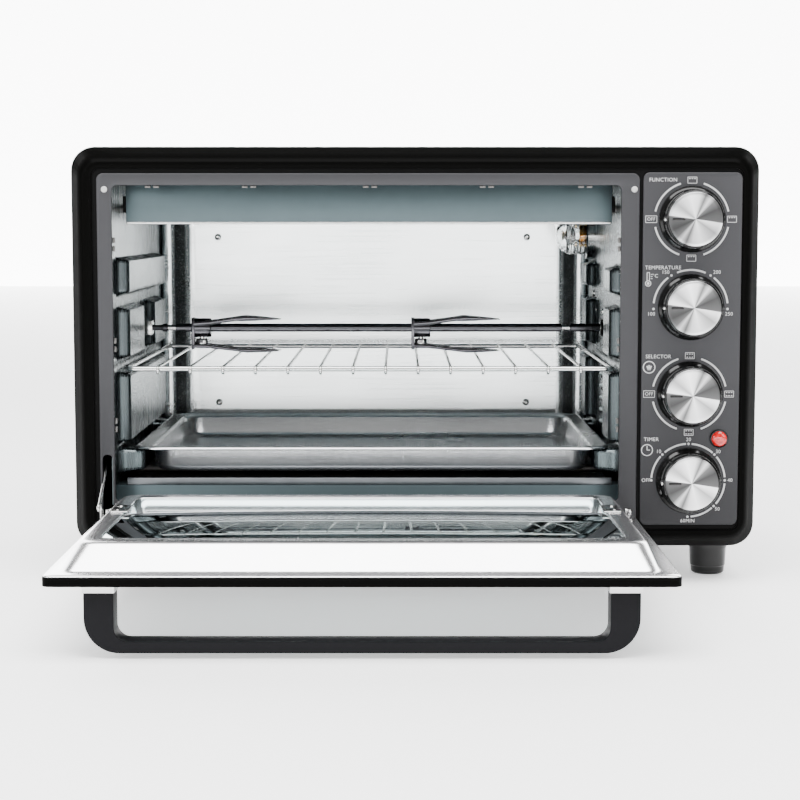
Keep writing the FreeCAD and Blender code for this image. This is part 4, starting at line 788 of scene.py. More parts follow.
# ------------------------------------------------------------------ knobs and lamp
def build_knob(control):
    """A knob: flared black body, spun metal face, dash pointer and a bright tab."""
    x, z = knob_centre(control)
    back = PANEL_FRONT - 1.2 * MM
    body = control + "_knob"
    bm = bmesh.new()
    turned(bm, "front", (x, back, z),
           [(0, 0), (24.6 * MM, 0), (25 * MM, -0.6 * MM), (25 * MM, -2.6 * MM),
            (24.4 * MM, -3.6 * MM), (22.6 * MM, -5 * MM), (22.2 * MM, -8 * MM),
            (21.6 * MM, -17 * MM), (21.2 * MM, -18.3 * MM), (20.4 * MM, -18.8 * MM),
            (20.1 * MM, -18.4 * MM), (0, -18.4 * MM)])
    save(bm, control + "_knob_body", "black_gloss", body,
         (control + "_knob",), angle=40)
    bm = bmesh.new()
    face_y = back - 18.45 * MM
    turned(bm, "front", (x, face_y, z),
           [(0, 0), (19.7 * MM, 0), (19.95 * MM, -0.15 * MM), (20.0 * MM, -0.35 * MM),
            (19.6 * MM, -0.55 * MM), (17.8 * MM, -0.3 * MM), (0, -0.1 * MM)])
    piece = save(bm, control + "_knob_disc", "spun_metal", body, angle=50)
    # each point keeps its distance from the axis and its turn round it
    layer = piece.data.uv_layers.new(name="turned")
    for face in piece.data.polygons:
        for corner in face.loop_indices:
            place = piece.data.vertices[piece.data.loops[corner].vertex_index].co
            middle = face.center
            turn = math.atan2(place.z - z, place.x - x) / math.tau
            near = math.atan2(middle.z - z, middle.x - x) / math.tau
            if Vector((place.x - x, place.z - z)).length < 1e-5:
                turn = near
            turn += round(near - turn)
            layer.data[corner].uv = (math.hypot(place.x - x, place.z - z), turn)
    bm = bmesh.new()
    block(bm, (x - 17.2 * MM, face_y - 0.95 * MM, z - 0.75 * MM),
          (x - 8.0 * MM, face_y - 0.1 * MM, z + 0.75 * MM), 0.25 * MM)
    save(bm, control + "_knob_pointer", "black_gloss", body)
    bm = bmesh.new()
    block(bm, (x - 22.9 * MM, back - 16.6 * MM, z - 1.3 * MM),
          (x - 21.3 * MM, back - 6 * MM, z + 1.3 * MM), 0.4 * MM)
    save(bm, control + "_knob_tab", "bright_plating", body)


def build_knobs():
    for control in KNOBS:
        build_knob(control)


def build_indicator():
    """The red indicator lens in its black ring."""
    low, high = span("indicator_lens")
    centre = ((low.x + high.x) / 2, high.y, (low.z + high.z) / 2)
    bm = bmesh.new()
    turned(bm, "front", centre,
           [(0, 0.4 * MM), (5.7 * MM, 0.4 * MM), (5.75 * MM, -0.6 * MM), (5.3 * MM, -1.5 * MM),
            (4.2 * MM, -2.1 * MM), (2.4 * MM, -2.5 * MM), (0, -2.6 * MM)])
    save(bm, "indicator_dome", "red_lens", "root", ("indicator_lens",), angle=60)
    bm = bmesh.new()
    turned(bm, "front", centre,
           [(5.75 * MM, 0.2 * MM), (5.9 * MM, -0.7 * MM), (6.6 * MM, -0.8 * MM),
            (7.0 * MM, -0.3 * MM), (7.0 * MM, 1.2 * MM), (4.8 * MM, 1.2 * MM),
            (4.8 * MM, 12 * MM), (4.4 * MM, 12 * MM), (4.4 * MM, 0.4 * MM),
            (5.75 * MM, 0.2 * MM)])
    save(bm, "indicator_ring", "black_gloss", "root", ("indicator_holder",))


# ------------------------------------------------------------------ cavity
# pressed bosses in mm: from and to behind the front plane, low and high, rise
BOSS_ROWS = {"one": (219, 242), "two": (169.5, 211), "three": (104.5, 161.3)}
LEDGES = ((26, 66, 81, 101.9, 20), (232, 262, 81, 101.9, 20))
LEFT_BOSSES = ((26, 262, 219, 249, 9.5), (26, 124, *BOSS_ROWS["two"], 9.5),
               (176, 262, *BOSS_ROWS["two"], 9.5), (26, 262, *BOSS_ROWS["three"], 9.5), *LEDGES)
RIGHT_BOSSES = (*((start, end, *row, 9.5) for row in BOSS_ROWS.values()
                  for start, end in ((26, 84), (212, 262))), *LEDGES)


def ease(part):
    """A smooth step from 0 to 1."""
    part = min(1.0, max(0.0, part))
    return part * part * (3 - 2 * part)


def wall_piece(node, wall_x, inward, bosses):
    """A pressed cavity side: one sheet raised smoothly over each boss."""
    low, high = span(node)
    bm = bmesh.new()
    middle = Vector((wall_x, (low.y + high.y) / 2, (low.z + high.z) / 2))
    place = (Matrix.Translation(middle) @ AXES["side"]
             @ Matrix.Diagonal((high.y - low.y, high.z - low.z, 1, 1)))
    bmesh.ops.create_grid(bm, x_segments=110, y_segments=160, size=0.5, matrix=place)
    slope = sizes().boss_round / MM
    for vert in bm.verts:
        along, up = (vert.co.y - FRONT) / MM, vert.co.z / MM
        lift = 0.0
        for start, end, bottom, top, rise in bosses:
            ends = ease(min(along - start, end - along) / (2.6 * slope))
            sides = ease(min(up - bottom, top - up) / slope)
            lift = max(lift, rise * ends * sides)
        vert.co.x += inward * lift * MM
    orient(bm, (inward, 0, 0))
    piece = save(bm, node + "_pressed", "wall_steel", "root", (node,),
                 closed=False, angle=60)
    solidify(piece, SHEET)


def build_cavity():
    """The galvanised cavity: side walls, back, floor and the plate under the roof."""
    wall_piece("cavity_left_wall", WALL_LEFT, 1, LEFT_BOSSES)
    wall_piece("cavity_right_wall", WALL_RIGHT, -1, RIGHT_BOSSES)
    low, high = span("cavity_back_panel")
    near, far = low.y, high.y - SHEET
    whole = (low.x, high.x, low.z, high.z)
    rim, floor = grown(whole, -11 * MM), grown(whole, -24 * MM)
    bm = bmesh.new()
    rings = [ring(bm, "front", whole, near, 0.5 * MM), ring(bm, "front", rim, near, 12 * MM),
             ring(bm, "front", floor, far, 12 * MM)]
    strip(bm, rings)
    fill(bm, rings[-1])
    soften(bm, rings[1], 3 * MM, 4)
    soften(bm, rings[2], 5 * MM, 5)
    orient(bm, (0, -1, 0))
    piece = save(bm, "cavity_back_pressed", "back_steel", "root",
                 ("cavity_back_panel",), closed=False, angle=60)
    solidify(piece, SHEET)
    bm = bmesh.new()
    for x in (-180, 106):
        for z in (108.6, 262):
            screw_head(bm, "front", (x * MM, far, z * MM), 3.2 * MM, -1.6 * MM)
    for along, up in ((238, 213.5), (216, 200), (165, 200.6)):
        screw_head(bm, "side", (WALL_RIGHT, FRONT + along * MM, up * MM), 3 * MM, -1.8 * MM)
    save(bm, "cavity_screws", "bright_plating", "root")
    soft_copy("cavity_floor", "dull_steel", "root", 0.45 * MM)
    soft_copy("top_deflector", "dull_steel", "root", 0.4 * MM)
    low, high = span("top_deflector")
    bm = bmesh.new()
    block(bm, (low.x, low.y - 0.8 * MM, low.z - 0.3 * MM), (high.x, low.y + 5 * MM,
          low.z + 1.6 * MM), 0.7 * MM, 3)
    save(bm, "deflector_lip", "bright_plating", "root")
    # black blocks stand in for the shade inside the notches at the deflector's ends
    bm = bmesh.new()
    for x in (low.x - 2.6 * MM, high.x + 0.4 * MM):
        block(bm, (x, low.y + 1 * MM, low.z + 9 * MM), (x + 2.2 * MM, low.y + 9 * MM,
              low.z + 21 * MM), 0.6 * MM)
    save(bm, "deflector_notches", "black_void", "root")
    build_louvres()


def build_louvres():
    """Raised louvres on the right wall, over the fan."""
    low, high = span("fan_duct")
    middle_y, middle_z = (low.y + high.y) / 2, (low.z + high.z) / 2
    hoods, gaps = bmesh.new(), bmesh.new()
    for row in range(6):
        z = middle_z + (-25 + 10 * row) * MM
        path = []
        for step in range(17):
            part = step / 8 - 1
            path.append((WALL_RIGHT - 1.1 * MM * (1 - part ** 4),
                         middle_y + 24 * MM * part, z + 2.6 * MM * (1 - part * part)))
        wire(hoods, path, 1.5 * MM)
        # black slabs in the slots stand in for the shade behind them
        block(gaps, (WALL_RIGHT - 0.5 * MM, middle_y - 20 * MM, z - 2.6 * MM),
              (WALL_RIGHT + 0.4 * MM, middle_y + 20 * MM, z + 1.4 * MM), 0.2 * MM, 1)
    save(hoods, "louvre_hoods", "cavity_steel", "root")
    save(gaps, "louvre_gaps", "black_void", "root")


def build_heaters():
    """Four sheathed elements, each with a ceramic sleeve and a stud at both ends."""
    for node in ("upper_heaters", "lower_heaters"):
        low, high = span(node)
        radius, z = (high.z - low.z) / 2, (low.z + high.z) / 2
        bm = bmesh.new()
        for y in (low.y + radius, high.y - radius):
            turned(bm, "side", (low.x, y, z),
                   [(0, 0), (1.6 * MM, 0), (1.9 * MM, 0.4 * MM), (1.9 * MM, 6 * MM),
                    (radius, 6.6 * MM), (radius, high.x - low.x - 6.6 * MM),
                    (1.9 * MM, high.x - low.x - 6 * MM),
                    (1.9 * MM, high.x - low.x - 0.4 * MM), (1.6 * MM, high.x - low.x),
                    (0, high.x - low.x)], 40)
        save(bm, node + "_sheathed", "heater_oxide", "root", (node,))
    soft_copy("heater_insulators", "white_ceramic", "root", 0.8 * MM)


def build_light():
    """The oven light: ribbed glass dome, threaded collar, bulb and steel ring."""
    low, high = span("light_ring")
    x, y, z = high.x, (low.y + high.y) / 2, (low.z + high.z) / 2
    reach = high.x - span("light_glass")[0].x
    straight = reach - 17 * MM
    outer, inner = [], []
    for step in range(61):
        turn = math.radians(1.5 * step)
        rib = 0.35 * MM * math.sin(math.radians(24 * step)) * math.sin(turn)
        outer.append(((17 * MM + rib) * math.sin(turn), -straight - 17 * MM * math.cos(turn)))
        if step % 6 == 0:
            inner.append((15.2 * MM * math.sin(turn), -straight - 15.2 * MM * math.cos(turn)))
    for step in range(1, 25):
        rib = 0.35 * MM * math.sin(math.radians(60 * step))
        outer.append((16.9 * MM + rib, -straight + straight * step / 24))
    bm = bmesh.new()
    turned(bm, "side", (x, y, z), outer + [(15.2 * MM, 0)] + inner[::-1], 72)
    save(bm, "light_dome", "lamp_glass", "root", ("light_glass",), angle=60)
    bm = bmesh.new()
    turned(bm, "side", (x, y, z),
           [(17.1 * MM, 0), (17.1 * MM, -6.6 * MM), (17.9 * MM, -7.8 * MM), (19.6 * MM, -7.9 * MM),
            (20.8 * MM, -6.6 * MM), (21 * MM, -2 * MM), (21 * MM, 0), (17.1 * MM, 0)])
    save(bm, "light_bezel", "bright_plating", "root", ("light_ring",))
    thread = [(0, -14.5 * MM), (9 * MM, -14.5 * MM)]
    for step in range(25):
        thread.append(((9.6 + 0.8 * math.sin(math.radians(90 * step))) * MM,
                       (-14 + 0.5 * step) * MM))
    bm = bmesh.new()
    turned(bm, "side", (x, y, z), thread + [(12 * MM, 2 * MM), (12 * MM, 25 * MM), (0, 25 * MM)])
    save(bm, "light_collar", "brass_plating", "root", ("light_socket",))
    bulb = [(0, -27.5 * MM)]
    for step in range(1, 13):
        turn = math.radians(12.5 * step)
        bulb.append((8.5 * MM * math.sin(turn), (-19 - 8.5 * math.cos(turn)) * MM))
    bm = bmesh.new()
    turned(bm, "side", (x, y, z), bulb + [(5 * MM, -10 * MM), (0, -10 * MM)], 48)
    save(bm, "light_globe", "lamp_glass", "root", ("light_bulb",), angle=60)


# ------------------------------------------------------------------ spit and forks
def prong(bm, y, heights):
    """A flat pointed prong: heights are (x, its middle height, how tall) from hub to tip."""
    rings = []
    for x, z, tall in heights:
        wide = 1.7 * MM * min(1.0, 0.25 + tall / (4 * MM))
        rings.append(ring(bm, "side", (y - wide, y + wide, z - tall / 2, z + tall / 2), x,
                          0.24 * tall, 2))
    strip(bm, rings)
    fill(bm, rings[0])
    fill(bm, rings[-1])


def build_fork(side):
    """A meat fork with two prongs above and two below, and its knurled clamping screw."""
    low, high = span(side + "_fork")
    y, z = (low.y + high.y) / 2, SPIT_Z
    body = side + "_fork"
    bm = bmesh.new()
    turned(bm, "side", (low.x, y, z),
           [(3.6 * MM, 0), (7.3 * MM, 0), (8 * MM, 0.7 * MM), (8 * MM, 15.3 * MM),
            (7.3 * MM, 16 * MM), (3.6 * MM, 16 * MM), (3.6 * MM, 0)], 56)
    outer, bore = (low.y, high.y, low.z, high.z), grown((y, y, z, z), 3.6 * MM)
    plate = [ring(bm, "side", rect, place, radius, 5) for rect, place, radius in (
        (outer, low.x, 3 * MM), (outer, low.x + 2.5 * MM, 3 * MM),
        (bore, low.x + 2.5 * MM, 3.599 * MM), (bore, low.x, 3.599 * MM))]
    strip(bm, plate + plate[:1])
    soften(bm, plate[0] + plate[1], 0.4 * MM, 2)
    upper = ((1, 3.4, 3.6), (15, 4.4, 3.6), (37, 7.6, 3.4), (44, 8.0, 4.6), (60, 7.7, 2.6),
             (74, 7.2, 0.5))
    lower = ((1, -14.6, 3.2), (15, -15.2, 3.2), (37, -18.0, 2.8), (46, -18.6, 3.8),
             (62, -18.9, 2.2), (74, -19.0, 0.5))
    for heights in (upper, lower):
        for prong_y in (low.y + 1.7 * MM, high.y - 1.7 * MM):
            prong(bm, prong_y, [(low.x + x * MM, z + up * MM, tall * MM)
                                for x, up, tall in heights])
    save(bm, side + "_fork_forged", "fork_plating", body, (side + "_fork",))
    low, high = span(side + "_thumbscrew")
    x, base = (low.x + high.x) / 2, low.z
    bm = bmesh.new()
    turned(bm, "flat", (x, y, base),
           [(0, 0), (4.3 * MM, 0), (4.9 * MM, 0.6 * MM), (4.9 * MM, 7.4 * MM), (4.3 * MM, 8 * MM),
            (2 * MM, 8 * MM), (2 * MM, high.z - base), (0, high.z - base)], 72)
    for vert in bm.verts:
        arm = Vector((vert.co.x - x, vert.co.y - y))
        if arm.length > 4.6 * MM:
            turn = math.atan2(arm.y, arm.x)
            arm *= 1 + 0.035 * math.cos(24 * turn)
            vert.co.x, vert.co.y = x + arm.x, y + arm.y
    save(bm, side + "_thumbscrew_knurled", "bright_plating", side + "_thumbscrew",
         (side + "_thumbscrew",), angle=50)


def build_spit():
    """The spit rod with its two bright necks, its rest and its drive socket."""
    low, high = span("spit_rod")
    y, z = (low.y + high.y) / 2, (low.z + high.z) / 2
    radius = (high.y - low.y) / 2
    bm = bmesh.new()
    profile = [(0, 0), (1.9 * MM, 0), (2.3 * MM, 0.5 * MM), (2.3 * MM, 17.4 * MM),
               (radius, 18.6 * MM)]
    for start in SPIT_NECKS:
        profile += [(radius, start), (2.3 * MM, start + 0.8 * MM), (2.3 * MM, start + 7.4 * MM),
                    (radius, start + 8.2 * MM)]
    length = high.x - low.x
    profile += [(radius, length - 0.6 * MM), (radius - 0.6 * MM, length), (0, length)]
    turned(bm, "side", (low.x, y, z), profile, 48)
    save(bm, "spit_rod_turned", "fork_plating", "spit", ("spit_rod",))
    bm = bmesh.new()
    for start in (22.9 * MM, 351.9 * MM):
        turned(bm, "side", (low.x + start, y, z),
               [(0, 0), (2.36 * MM, 0), (2.36 * MM, 6.4 * MM), (0, 6.4 * MM)], 40)
    save(bm, "spit_necks", "bright_plating", "spit")
    low, high = span("drive_socket")
    bm = bmesh.new()
    turned(bm, "side", (low.x, y, z),
           [(0, 0.3 * MM), (3.8 * MM, 0.3 * MM), (3.8 * MM, 0), (6.3 * MM, 0), (7 * MM, 0.8 * MM),
            (7 * MM, 3.5 * MM), (4 * MM, 3.5 * MM), (4 * MM, high.x - low.x),
            (0, high.x - low.x)], 56)
    save(bm, "drive_socket_turned", "black_gloss", "spit", ("drive_socket",))
    bm = bmesh.new()
    turned(bm, "side", (low.x, y, z),
           [(3.5 * MM, 0.4 * MM), (3.5 * MM, -0.4 * MM), (4.8 * MM, -0.4 * MM),
            (4.8 * MM, 0.4 * MM), (3.5 * MM, 0.4 * MM)], 48)
    save(bm, "drive_collar", "bright_plating", "spit")
    soft_copy("spit_bracket", "bright_plating", "root", 0.8 * MM, 3)
    build_fork("left")
    build_fork("right")


# ------------------------------------------------------------------ rack and trays
def build_rack():
    """The chromed rack: a thick bent frame and thinner bars hooked over it."""
    low, high = span("wire_rack")
    radius, thin = 2 * MM, 1.2 * MM
    z = low.z + radius
    left, right = low.x + radius, high.x - radius
    near, far = low.y + radius, high.y - radius
    frame_path = rounded_path([(0, near, z), (right, near, z), (right, far, z), (left, far, z),
                               (left, near, z), (0, near, z)], 7 * MM, 8)
    bm = bmesh.new()
    wire(bm, frame_path[:-1], radius, cyclic=True, sides=6)
    top = high.z - thin
    for number in range(RACK_BARS):
        x = (left + right) / 2 + (number - 6.5) * 25 * MM
        path = rounded_path([(x, near + 0.6 * MM, z - 3.4 * MM), (x, near - 3.3 * MM, z - 2.6 * MM),
                             (x, near - 3.2 * MM, top), (x, far + 3.0 * MM, top),
                             (x, far + 3.2 * MM, z - 2.0 * MM)], 1.6 * MM, 5)
        wire(bm, path, thin)
    save(bm, "wire_rack_chromed", "bright_plating", "wire_rack", ("wire_rack",),
         angle=60)


def build_trays():
    """The baking tray with its rolled rim, and the crumb tray under it."""
    low, high = span("baking_tray")
    whole = (low.x, high.x, low.y, high.y)
    bm = bmesh.new()
    # each ring: how far in from the rim, how far below the top, corner radius
    steps = ((0.9, 2.3, 21), (0.1, 1.9, 22), (0, 1.2, 22), (0.5, 0.35, 21.6), (1.4, 0, 21),
             (2.5, 0.25, 20), (3.3, 0.9, 19.5), (10.6, 1.0, 19.5), (12.2, 1.6, 19.5),
             (13.2, 3.2, 19), (15.0, 15.5, 18), (16.2, 18.3, 17), (18.6, 19.7, 15),
             (24, 19.7, 12))
    rings = [ring(bm, "flat", grown(whole, -inset * MM), high.z - drop * MM, corner * MM, 10)
             for inset, drop, corner in steps]
    strip(bm, rings)
    fill(bm, rings[-1])
    orient(bm, (0, 0, 1))
    piece = save(bm, "baking_tray_pressed", "tray_metal", "baking_tray",
                 ("baking_tray",), closed=False, angle=75)
    solidify(piece, 0.8 * MM)
    soft_copy("crumb_tray", "plate_steel", "crumb_tray", 0.4 * MM)


# ------------------------------------------------------------------ door
def build_door():
    """The door: black rim, pressed steel pan, glass, clips, ears, link and handle."""
    soft_copy("door_frame", "rim_enamel", "door", 1.2 * MM, 4)
    low, high = span("door_pan")
    base = span("door_frame")[1].z
    flange = (low.x, high.x, low.y, high.y)
    foot = (-227.4 * MM, 154 * MM, -292.5 * MM, -55.5 * MM)
    plateau = (-218 * MM, 147 * MM, -276.5 * MM, -68.5 * MM)
    glass_low, glass_high = span("door_glass")
    window = grown((glass_low.x, glass_high.x, glass_low.y, glass_high.y), -5 * MM)
    bm = bmesh.new()
    rings = [ring(bm, "flat", flange, base + 0.15 * MM, 5.5 * MM),
             ring(bm, "flat", grown(flange, -0.5 * MM), base + 1.0 * MM, 5 * MM),
             ring(bm, "flat", foot, base + 1.1 * MM, 9 * MM),
             ring(bm, "flat", plateau, high.z, 12 * MM),
             ring(bm, "flat", window, high.z, 7 * MM),
             ring(bm, "flat", grown(window, -0.05 * MM), high.z - 1.3 * MM, 7 * MM)]
    strip(bm, rings)
    soften(bm, rings[2], 2.2 * MM, 4)
    soften(bm, rings[3], 2.6 * MM, 5)
    soften(bm, rings[4], 0.5 * MM, 3)
    orient(bm, (0, 0, 1))
    piece = save(bm, "door_pan_pressed", "door_steel", "door", ("door_pan",),
                 closed=False, angle=60)
    solidify(piece, 0.8 * MM)
    soft_copy("door_glass", "door_glass", "door", 0.6 * MM, 2, 10)
    soft_copy("glass_clips", "bright_plating", "door", 0.35 * MM, 2)
    clips_low, clips_high = span("glass_clips")
    bm = bmesh.new()
    for x in (clips_low.x + 4 * MM, clips_high.x - 4 * MM):
        for reach in (6, 24):
            screw_head(bm, "flat", (x, clips_low.y + reach * MM, clips_high.z - 0.05 * MM),
                       2.4 * MM, 0.3 * MM)
    for x in (low.x + 6 * MM, high.x - 6 * MM):
        screw_head(bm, "flat", (x, high.y - 34 * MM, base + 1 * MM), 2.4 * MM, 1.1 * MM)
    save(bm, "door_screw_heads", "bright_plating", "door")
    for node, body in (("door_ears", "door"), ("hinge_pins", "root"), ("hinge_brackets", "root")):
        soft_copy(node, "bright_plating", body, 0.25 * MM)
    build_link()
    build_handle()


def build_link():
    """The wire link that runs into the slot, and the spring behind it."""
    low, high = span("door_link")
    x = (low.x + high.x) / 2
    stud = (x, FRONT - 33 * MM, LINK_STUD_Z)
    slope = LINK_SLOPE
    across, up = math.cos(slope), math.sin(slope)
    bm = bmesh.new()
    eye = [(x, stud[1] + 2.05 * MM * math.cos(turn * math.tau / 32),
            stud[2] + 2.05 * MM * math.sin(turn * math.tau / 32)) for turn in range(32)]
    wire(bm, eye, 0.95 * MM, cyclic=True, sides=5)
    wire(bm, [(x, stud[1] + reach * across * MM, stud[2] + reach * up * MM)
              for reach in (2, 95)], 1.1 * MM, sides=6)
    save(bm, "door_link_wire", "bright_plating", "door_link", ("door_link",), angle=60)
    low, high = span("door_spring")
    bm = bmesh.new()
    turns, length = 30, high.y - low.y - 1.6 * MM
    coil = []
    for step in range(turns * 16 + 1):
        turn = step * math.tau / 16
        coil.append(((low.x + high.x) / 2 + 3.2 * MM * math.cos(turn),
                     low.y + 0.8 * MM + length * step / (turns * 16),
                     (low.z + high.z) / 2 + 3.2 * MM * math.sin(turn)))
    wire(bm, coil, 0.7 * MM, sides=3)
    save(bm, "door_spring_coil", "plate_steel", "root", ("door_spring",), angle=60)


def build_handle():
    """The U-shaped handle on its two bright collars."""
    soft_copy("handle", "handle_enamel", "door", 1.5 * MM, 4)
    soft_copy("handle_collars", "bright_plating", "door", 0.7 * MM, 3)
    low, high = span("handle_screws")
    bm = bmesh.new()
    for x in (low.x + 4.5 * MM, high.x - 4.5 * MM):
        turned(bm, "flat", (x, (low.y + high.y) / 2, low.z),
               [(0, 0), (2.4 * MM, 0), (2.4 * MM, high.z - low.z - 2 * MM),
                (4.3 * MM, high.z - low.z - 2 * MM), (4.3 * MM, high.z - low.z - 0.6 * MM),
                (3 * MM, high.z - low.z), (0, high.z - low.z)], 40)
    save(bm, "handle_bolts", "bright_plating", "door", ("handle_screws",))


# ------------------------------------------------------------------ casing and feet
def build_casing():
    """The folded outer casing, the back and what stands on it."""
    soft_copy("outer_casing", "casing_enamel", "root", 1.0 * MM, 3)
    soft_copy("rear_panel", "casing_enamel", "root", 0.25 * MM, 1)
    soft_copy("cord_gland", "black_rubber", "root", 0.6 * MM, 2)
    low, high = span("rear_panel")
    bm = bmesh.new()
    for x in (low.x + 14 * MM, 0, high.x - 14 * MM):
        for z in (low.z + 10 * MM, high.z - 8 * MM):
            screw_head(bm, "front", (x, high.y, z), 3.4 * MM, 1.8 * MM)
    save(bm, "rear_screws", "bright_plating", "root")


def build_feet():
    """Four ribbed feet."""
    low, high = span("feet")
    bm = bmesh.new()
    for x in (low.x + 15 * MM, high.x - 15 * MM):
        for y in (low.y + 15 * MM, high.y - 15 * MM):
            turned(bm, "flat", (x, y, 0),
                   [(0, 0), (11.8 * MM, 0), (13 * MM, 1.2 * MM), (13.4 * MM, 6 * MM),
                    (13.9 * MM, 6.6 * MM), (14.5 * MM, 20 * MM), (15 * MM, 21 * MM),
                    (15 * MM, 27 * MM), (14.2 * MM, 27.95 * MM), (0, 27.95 * MM)], 64)
    save(bm, "feet_moulded", "black_gloss", "root", ("feet",))


# ------------------------------------------------------------------ carried-over nodes
CARRIED = {
    "black_void": ("front_bulkhead",),
    "cavity_steel": ("fan_duct",), "dull_steel": ("cavity_top_panel",),
    "plate_steel": ("base_plate", "gear_motor", "fan_motor", "convection_fan"),
    "moulded_cream": ("function_switch", "thermostat", "selector_switch", "timer"),
    "bright_plating": ("foot_screws",),
}


def dress_nodes():
    """Give the nodes that are kept as they are their finishes."""
    for finish, names in CARRIED.items():
        for name in names:
            mesh = NODES[name].data
            mesh.materials.clear()
            mesh.materials.append(finish_of(finish))


# ------------------------------------------------------------------ stage
def plain(name, tone, roughness=0.7, glow=0.0):
    """A plain stage surface."""
    graph = Graph(name, Roughness=roughness, Emission_Strength=glow)
    graph.shader.inputs["Emission Color"].default_value = (*tone, 1)
    patches = graph.noise(2.0)
    return graph.surface(graph.mix(patches, shade(tone, 0.995), tone))


def softbox(name, place, target, width, height, power, tone=(1, 1, 1)):
    """An area light that faces a point."""
    lamp = bpy.data.lights.new(name, "AREA")
    lamp.shape = "RECTANGLE"
    lamp.size, lamp.size_y = width, height
    lamp.energy = power
    lamp.color = tone
    holder = bpy.data.objects.new(name, lamp)
    holder.location = place
    holder.rotation_euler = (Vector(target) - Vector(place)).to_track_quat("-Z", "Y").to_euler()
    bpy.context.scene.collection.objects.link(holder)


def card(name, place, target, width, height, finish):
    """A flat card that shapes reflections."""
    bm = bmesh.new()
    aim = (Vector(target) - Vector(place)).to_track_quat("Z", "Y").to_matrix().to_4x4()
    place = Matrix.Translation(place) @ aim @ Matrix.Diagonal((width, height, 1, 1))
    bmesh.ops.create_grid(bm, x_segments=1, y_segments=1, size=0.5, matrix=place)
    mesh = bpy.data.meshes.new(name)
    bm.to_mesh(mesh)
    bm.free()
    mesh.materials.append(finish)
    holder = bpy.data.objects.new(name, mesh)
    bpy.context.scene.collection.objects.link(holder)
    return holder


def build_stage():
    """A pale floor, soft lights and the camera."""
    scene = bpy.context.scene
    card("floor", (0, 0, -0.0005), (0, 0, 1), 14, 14,
         plain("stage_white", (0.93, 0.93, 0.93), glow=0.75))
    card("backdrop", (0, 6, 2.5), (0, 0, 1.0), 14, 7,
         plain("stage_glow", (0.95, 0.95, 0.95), glow=8.0))
    world = bpy.data.worlds.new("studio")
    world.use_nodes = True
    world.node_tree.nodes["Background"].inputs["Color"].default_value = (1, 1, 1, 1)
    world.node_tree.nodes["Background"].inputs["Strength"].default_value = 0.30
    scene.world = world
    softbox("overhead", (0, -0.75, 1.7), (0, -0.45, 0), 2.2, 1.3, 105)
    softbox("low", (0, -2.3, 0.10), (0, 0, 0.13), 2.4, 0.2, 11)
    softbox("left", (-1.5, -1.5, 0.9), (0, 0, 0.15), 0.9, 1.2, 26)
    softbox("right", (1.5, -1.5, 0.9), (0, 0, 0.15), 0.9, 1.2, 20)
    camera = bpy.data.cameras.new("camera")
    camera.lens = sizes().lens
    camera.sensor_width = 36
    holder = bpy.data.objects.new("camera", camera)
    holder.location = (CAMERA_X, FRONT - sizes().distance, CAMERA_Z)
    holder.rotation_euler = (math.pi / 2 - sizes().pitch, 0, 0)
    scene.collection.objects.link(holder)
    scene.camera = holder


# ------------------------------------------------------------------ operators
class Builds:
    """What the operators share: each calls its builders in order."""
    builders = ()

    def execute(self, context):
        for build in self.builders:
            build()
        return {"FINISHED"}


class OVEN_OT_front(Builds, bpy.types.Operator):
    """Build the bevelled rim, the door seat, the control panel and the mouth's hem"""
    bl_idname = "oven.front"
    bl_label = "Front"
    builders = (build_front_frame, build_front_plates)


class OVEN_OT_printing(Builds, bpy.types.Operator):
    """Print the titles, arcs, numbers and pictograms on the control panel"""
    bl_idname = "oven.printing"
    bl_label = "Panel printing"
    builders = (build_printing,)


class OVEN_OT_knobs(Builds, bpy.types.Operator):
    """Build the four knobs"""
    bl_idname = "oven.knobs"
    bl_label = "Knobs"
    builders = (build_knobs,)


class OVEN_OT_indicator(Builds, bpy.types.Operator):
    """Build the red indicator and its ring"""
    bl_idname = "oven.indicator"
    bl_label = "Indicator"
    builders = (build_indicator,)


class OVEN_OT_cavity(Builds, bpy.types.Operator):
    """Build the cavity's walls, back, floor and deflector"""
    bl_idname = "oven.cavity"
    bl_label = "Cavity"
    builders = (build_cavity,)


class OVEN_OT_heaters(Builds, bpy.types.Operator):
    """Build the heating elements and their insulators"""
    bl_idname = "oven.heaters"
    bl_label = "Heaters"
    builders = (build_heaters,)


class OVEN_OT_light(Builds, bpy.types.Operator):
    """Build the oven light"""
    bl_idname = "oven.light"
    bl_label = "Light"
    builders = (build_light,)


class OVEN_OT_spit(Builds, bpy.types.Operator):
    """Build the spit, its forks and its thumbscrews"""
    bl_idname = "oven.spit"
    bl_label = "Spit"
    builders = (build_spit,)


class OVEN_OT_rack(Builds, bpy.types.Operator):
    """Build the wire rack"""
    bl_idname = "oven.rack"
    bl_label = "Wire rack"
    builders = (build_rack,)


class OVEN_OT_trays(Builds, bpy.types.Operator):
    """Build the baking tray and the crumb tray"""
    bl_idname = "oven.trays"
    bl_label = "Trays"
    builders = (build_trays,)


class OVEN_OT_door(Builds, bpy.types.Operator):
    """Build the door with its glass, link and handle"""
    bl_idname = "oven.door"
    bl_label = "Door"
    builders = (build_door,)


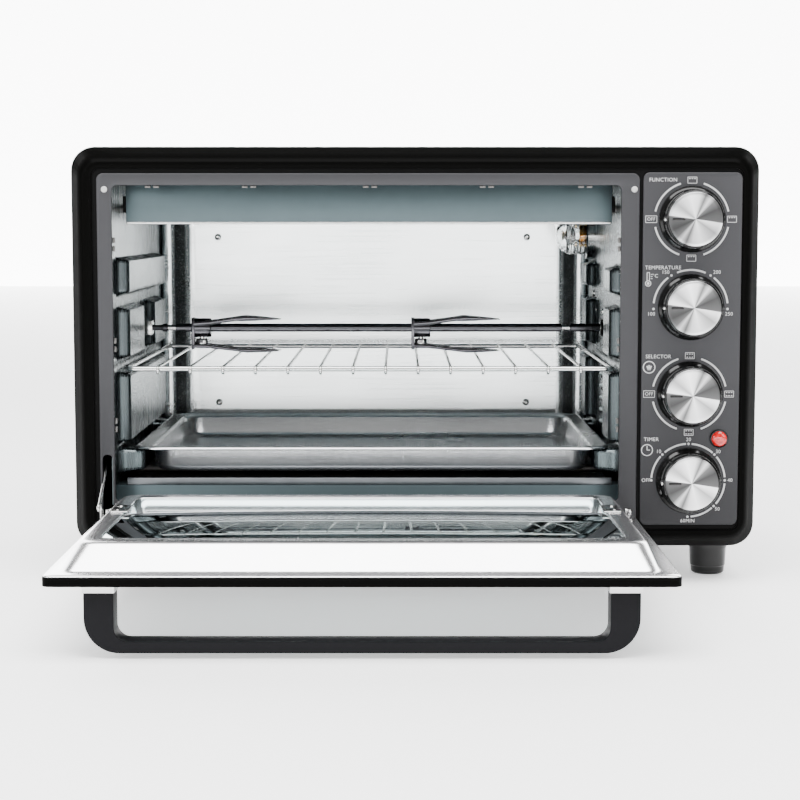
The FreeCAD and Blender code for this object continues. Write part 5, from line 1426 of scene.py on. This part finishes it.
class OVEN_OT_casing(Builds, bpy.types.Operator):
    """Build the outer casing and the back"""
    bl_idname = "oven.casing"
    bl_label = "Casing"
    builders = (build_casing,)


class OVEN_OT_feet(Builds, bpy.types.Operator):
    """Build the feet"""
    bl_idname = "oven.feet"
    bl_label = "Feet"
    builders = (build_feet,)


class OVEN_OT_carried(Builds, bpy.types.Operator):
    """Give finishes to the nodes kept from the frame"""
    bl_idname = "oven.carried"
    bl_label = "Kept nodes"
    builders = (dress_nodes,)


class OVEN_OT_stage(Builds, bpy.types.Operator):
    """Build the floor, the lights and the camera"""
    bl_idname = "oven.stage"
    bl_label = "Stage"
    builders = (build_stage,)


OPERATORS = (OVEN_OT_front, OVEN_OT_printing, OVEN_OT_knobs, OVEN_OT_indicator,
             OVEN_OT_cavity, OVEN_OT_heaters, OVEN_OT_light, OVEN_OT_spit, OVEN_OT_rack,
             OVEN_OT_trays, OVEN_OT_door, OVEN_OT_casing, OVEN_OT_feet, OVEN_OT_carried,
             OVEN_OT_stage)


class OVEN_PT_build(bpy.types.Panel):
    """Buttons that build the oven's pieces"""
    bl_idname = "OVEN_PT_build"
    bl_label = "Rotisserie oven"
    bl_space_type = "VIEW_3D"
    bl_region_type = "UI"
    bl_category = "Oven"

    def draw(self, context):
        for group in (context.scene.oven_sizes, context.scene.oven_colours):
            column = self.layout.column(align=True)
            for name in group.__annotations__:
                column.prop(group, name)
        for operator in OPERATORS:
            self.layout.operator(operator.bl_idname)


CLASSES = (OvenSizes, OvenColours, *OPERATORS, OVEN_PT_build)


def register():
    for item in CLASSES:
        bpy.utils.register_class(item)
    bpy.types.Scene.oven_sizes = bpy.props.PointerProperty(type=OvenSizes)
    bpy.types.Scene.oven_colours = bpy.props.PointerProperty(type=OvenColours)


def unregister():
    del bpy.types.Scene.oven_colours
    del bpy.types.Scene.oven_sizes
    for item in reversed(CLASSES):
        bpy.utils.unregister_class(item)


def main():
    register()
    for operator in OPERATORS:
        getattr(bpy.ops.oven, operator.bl_idname.split(".")[1])()


if __name__ == "__main__":
    main()
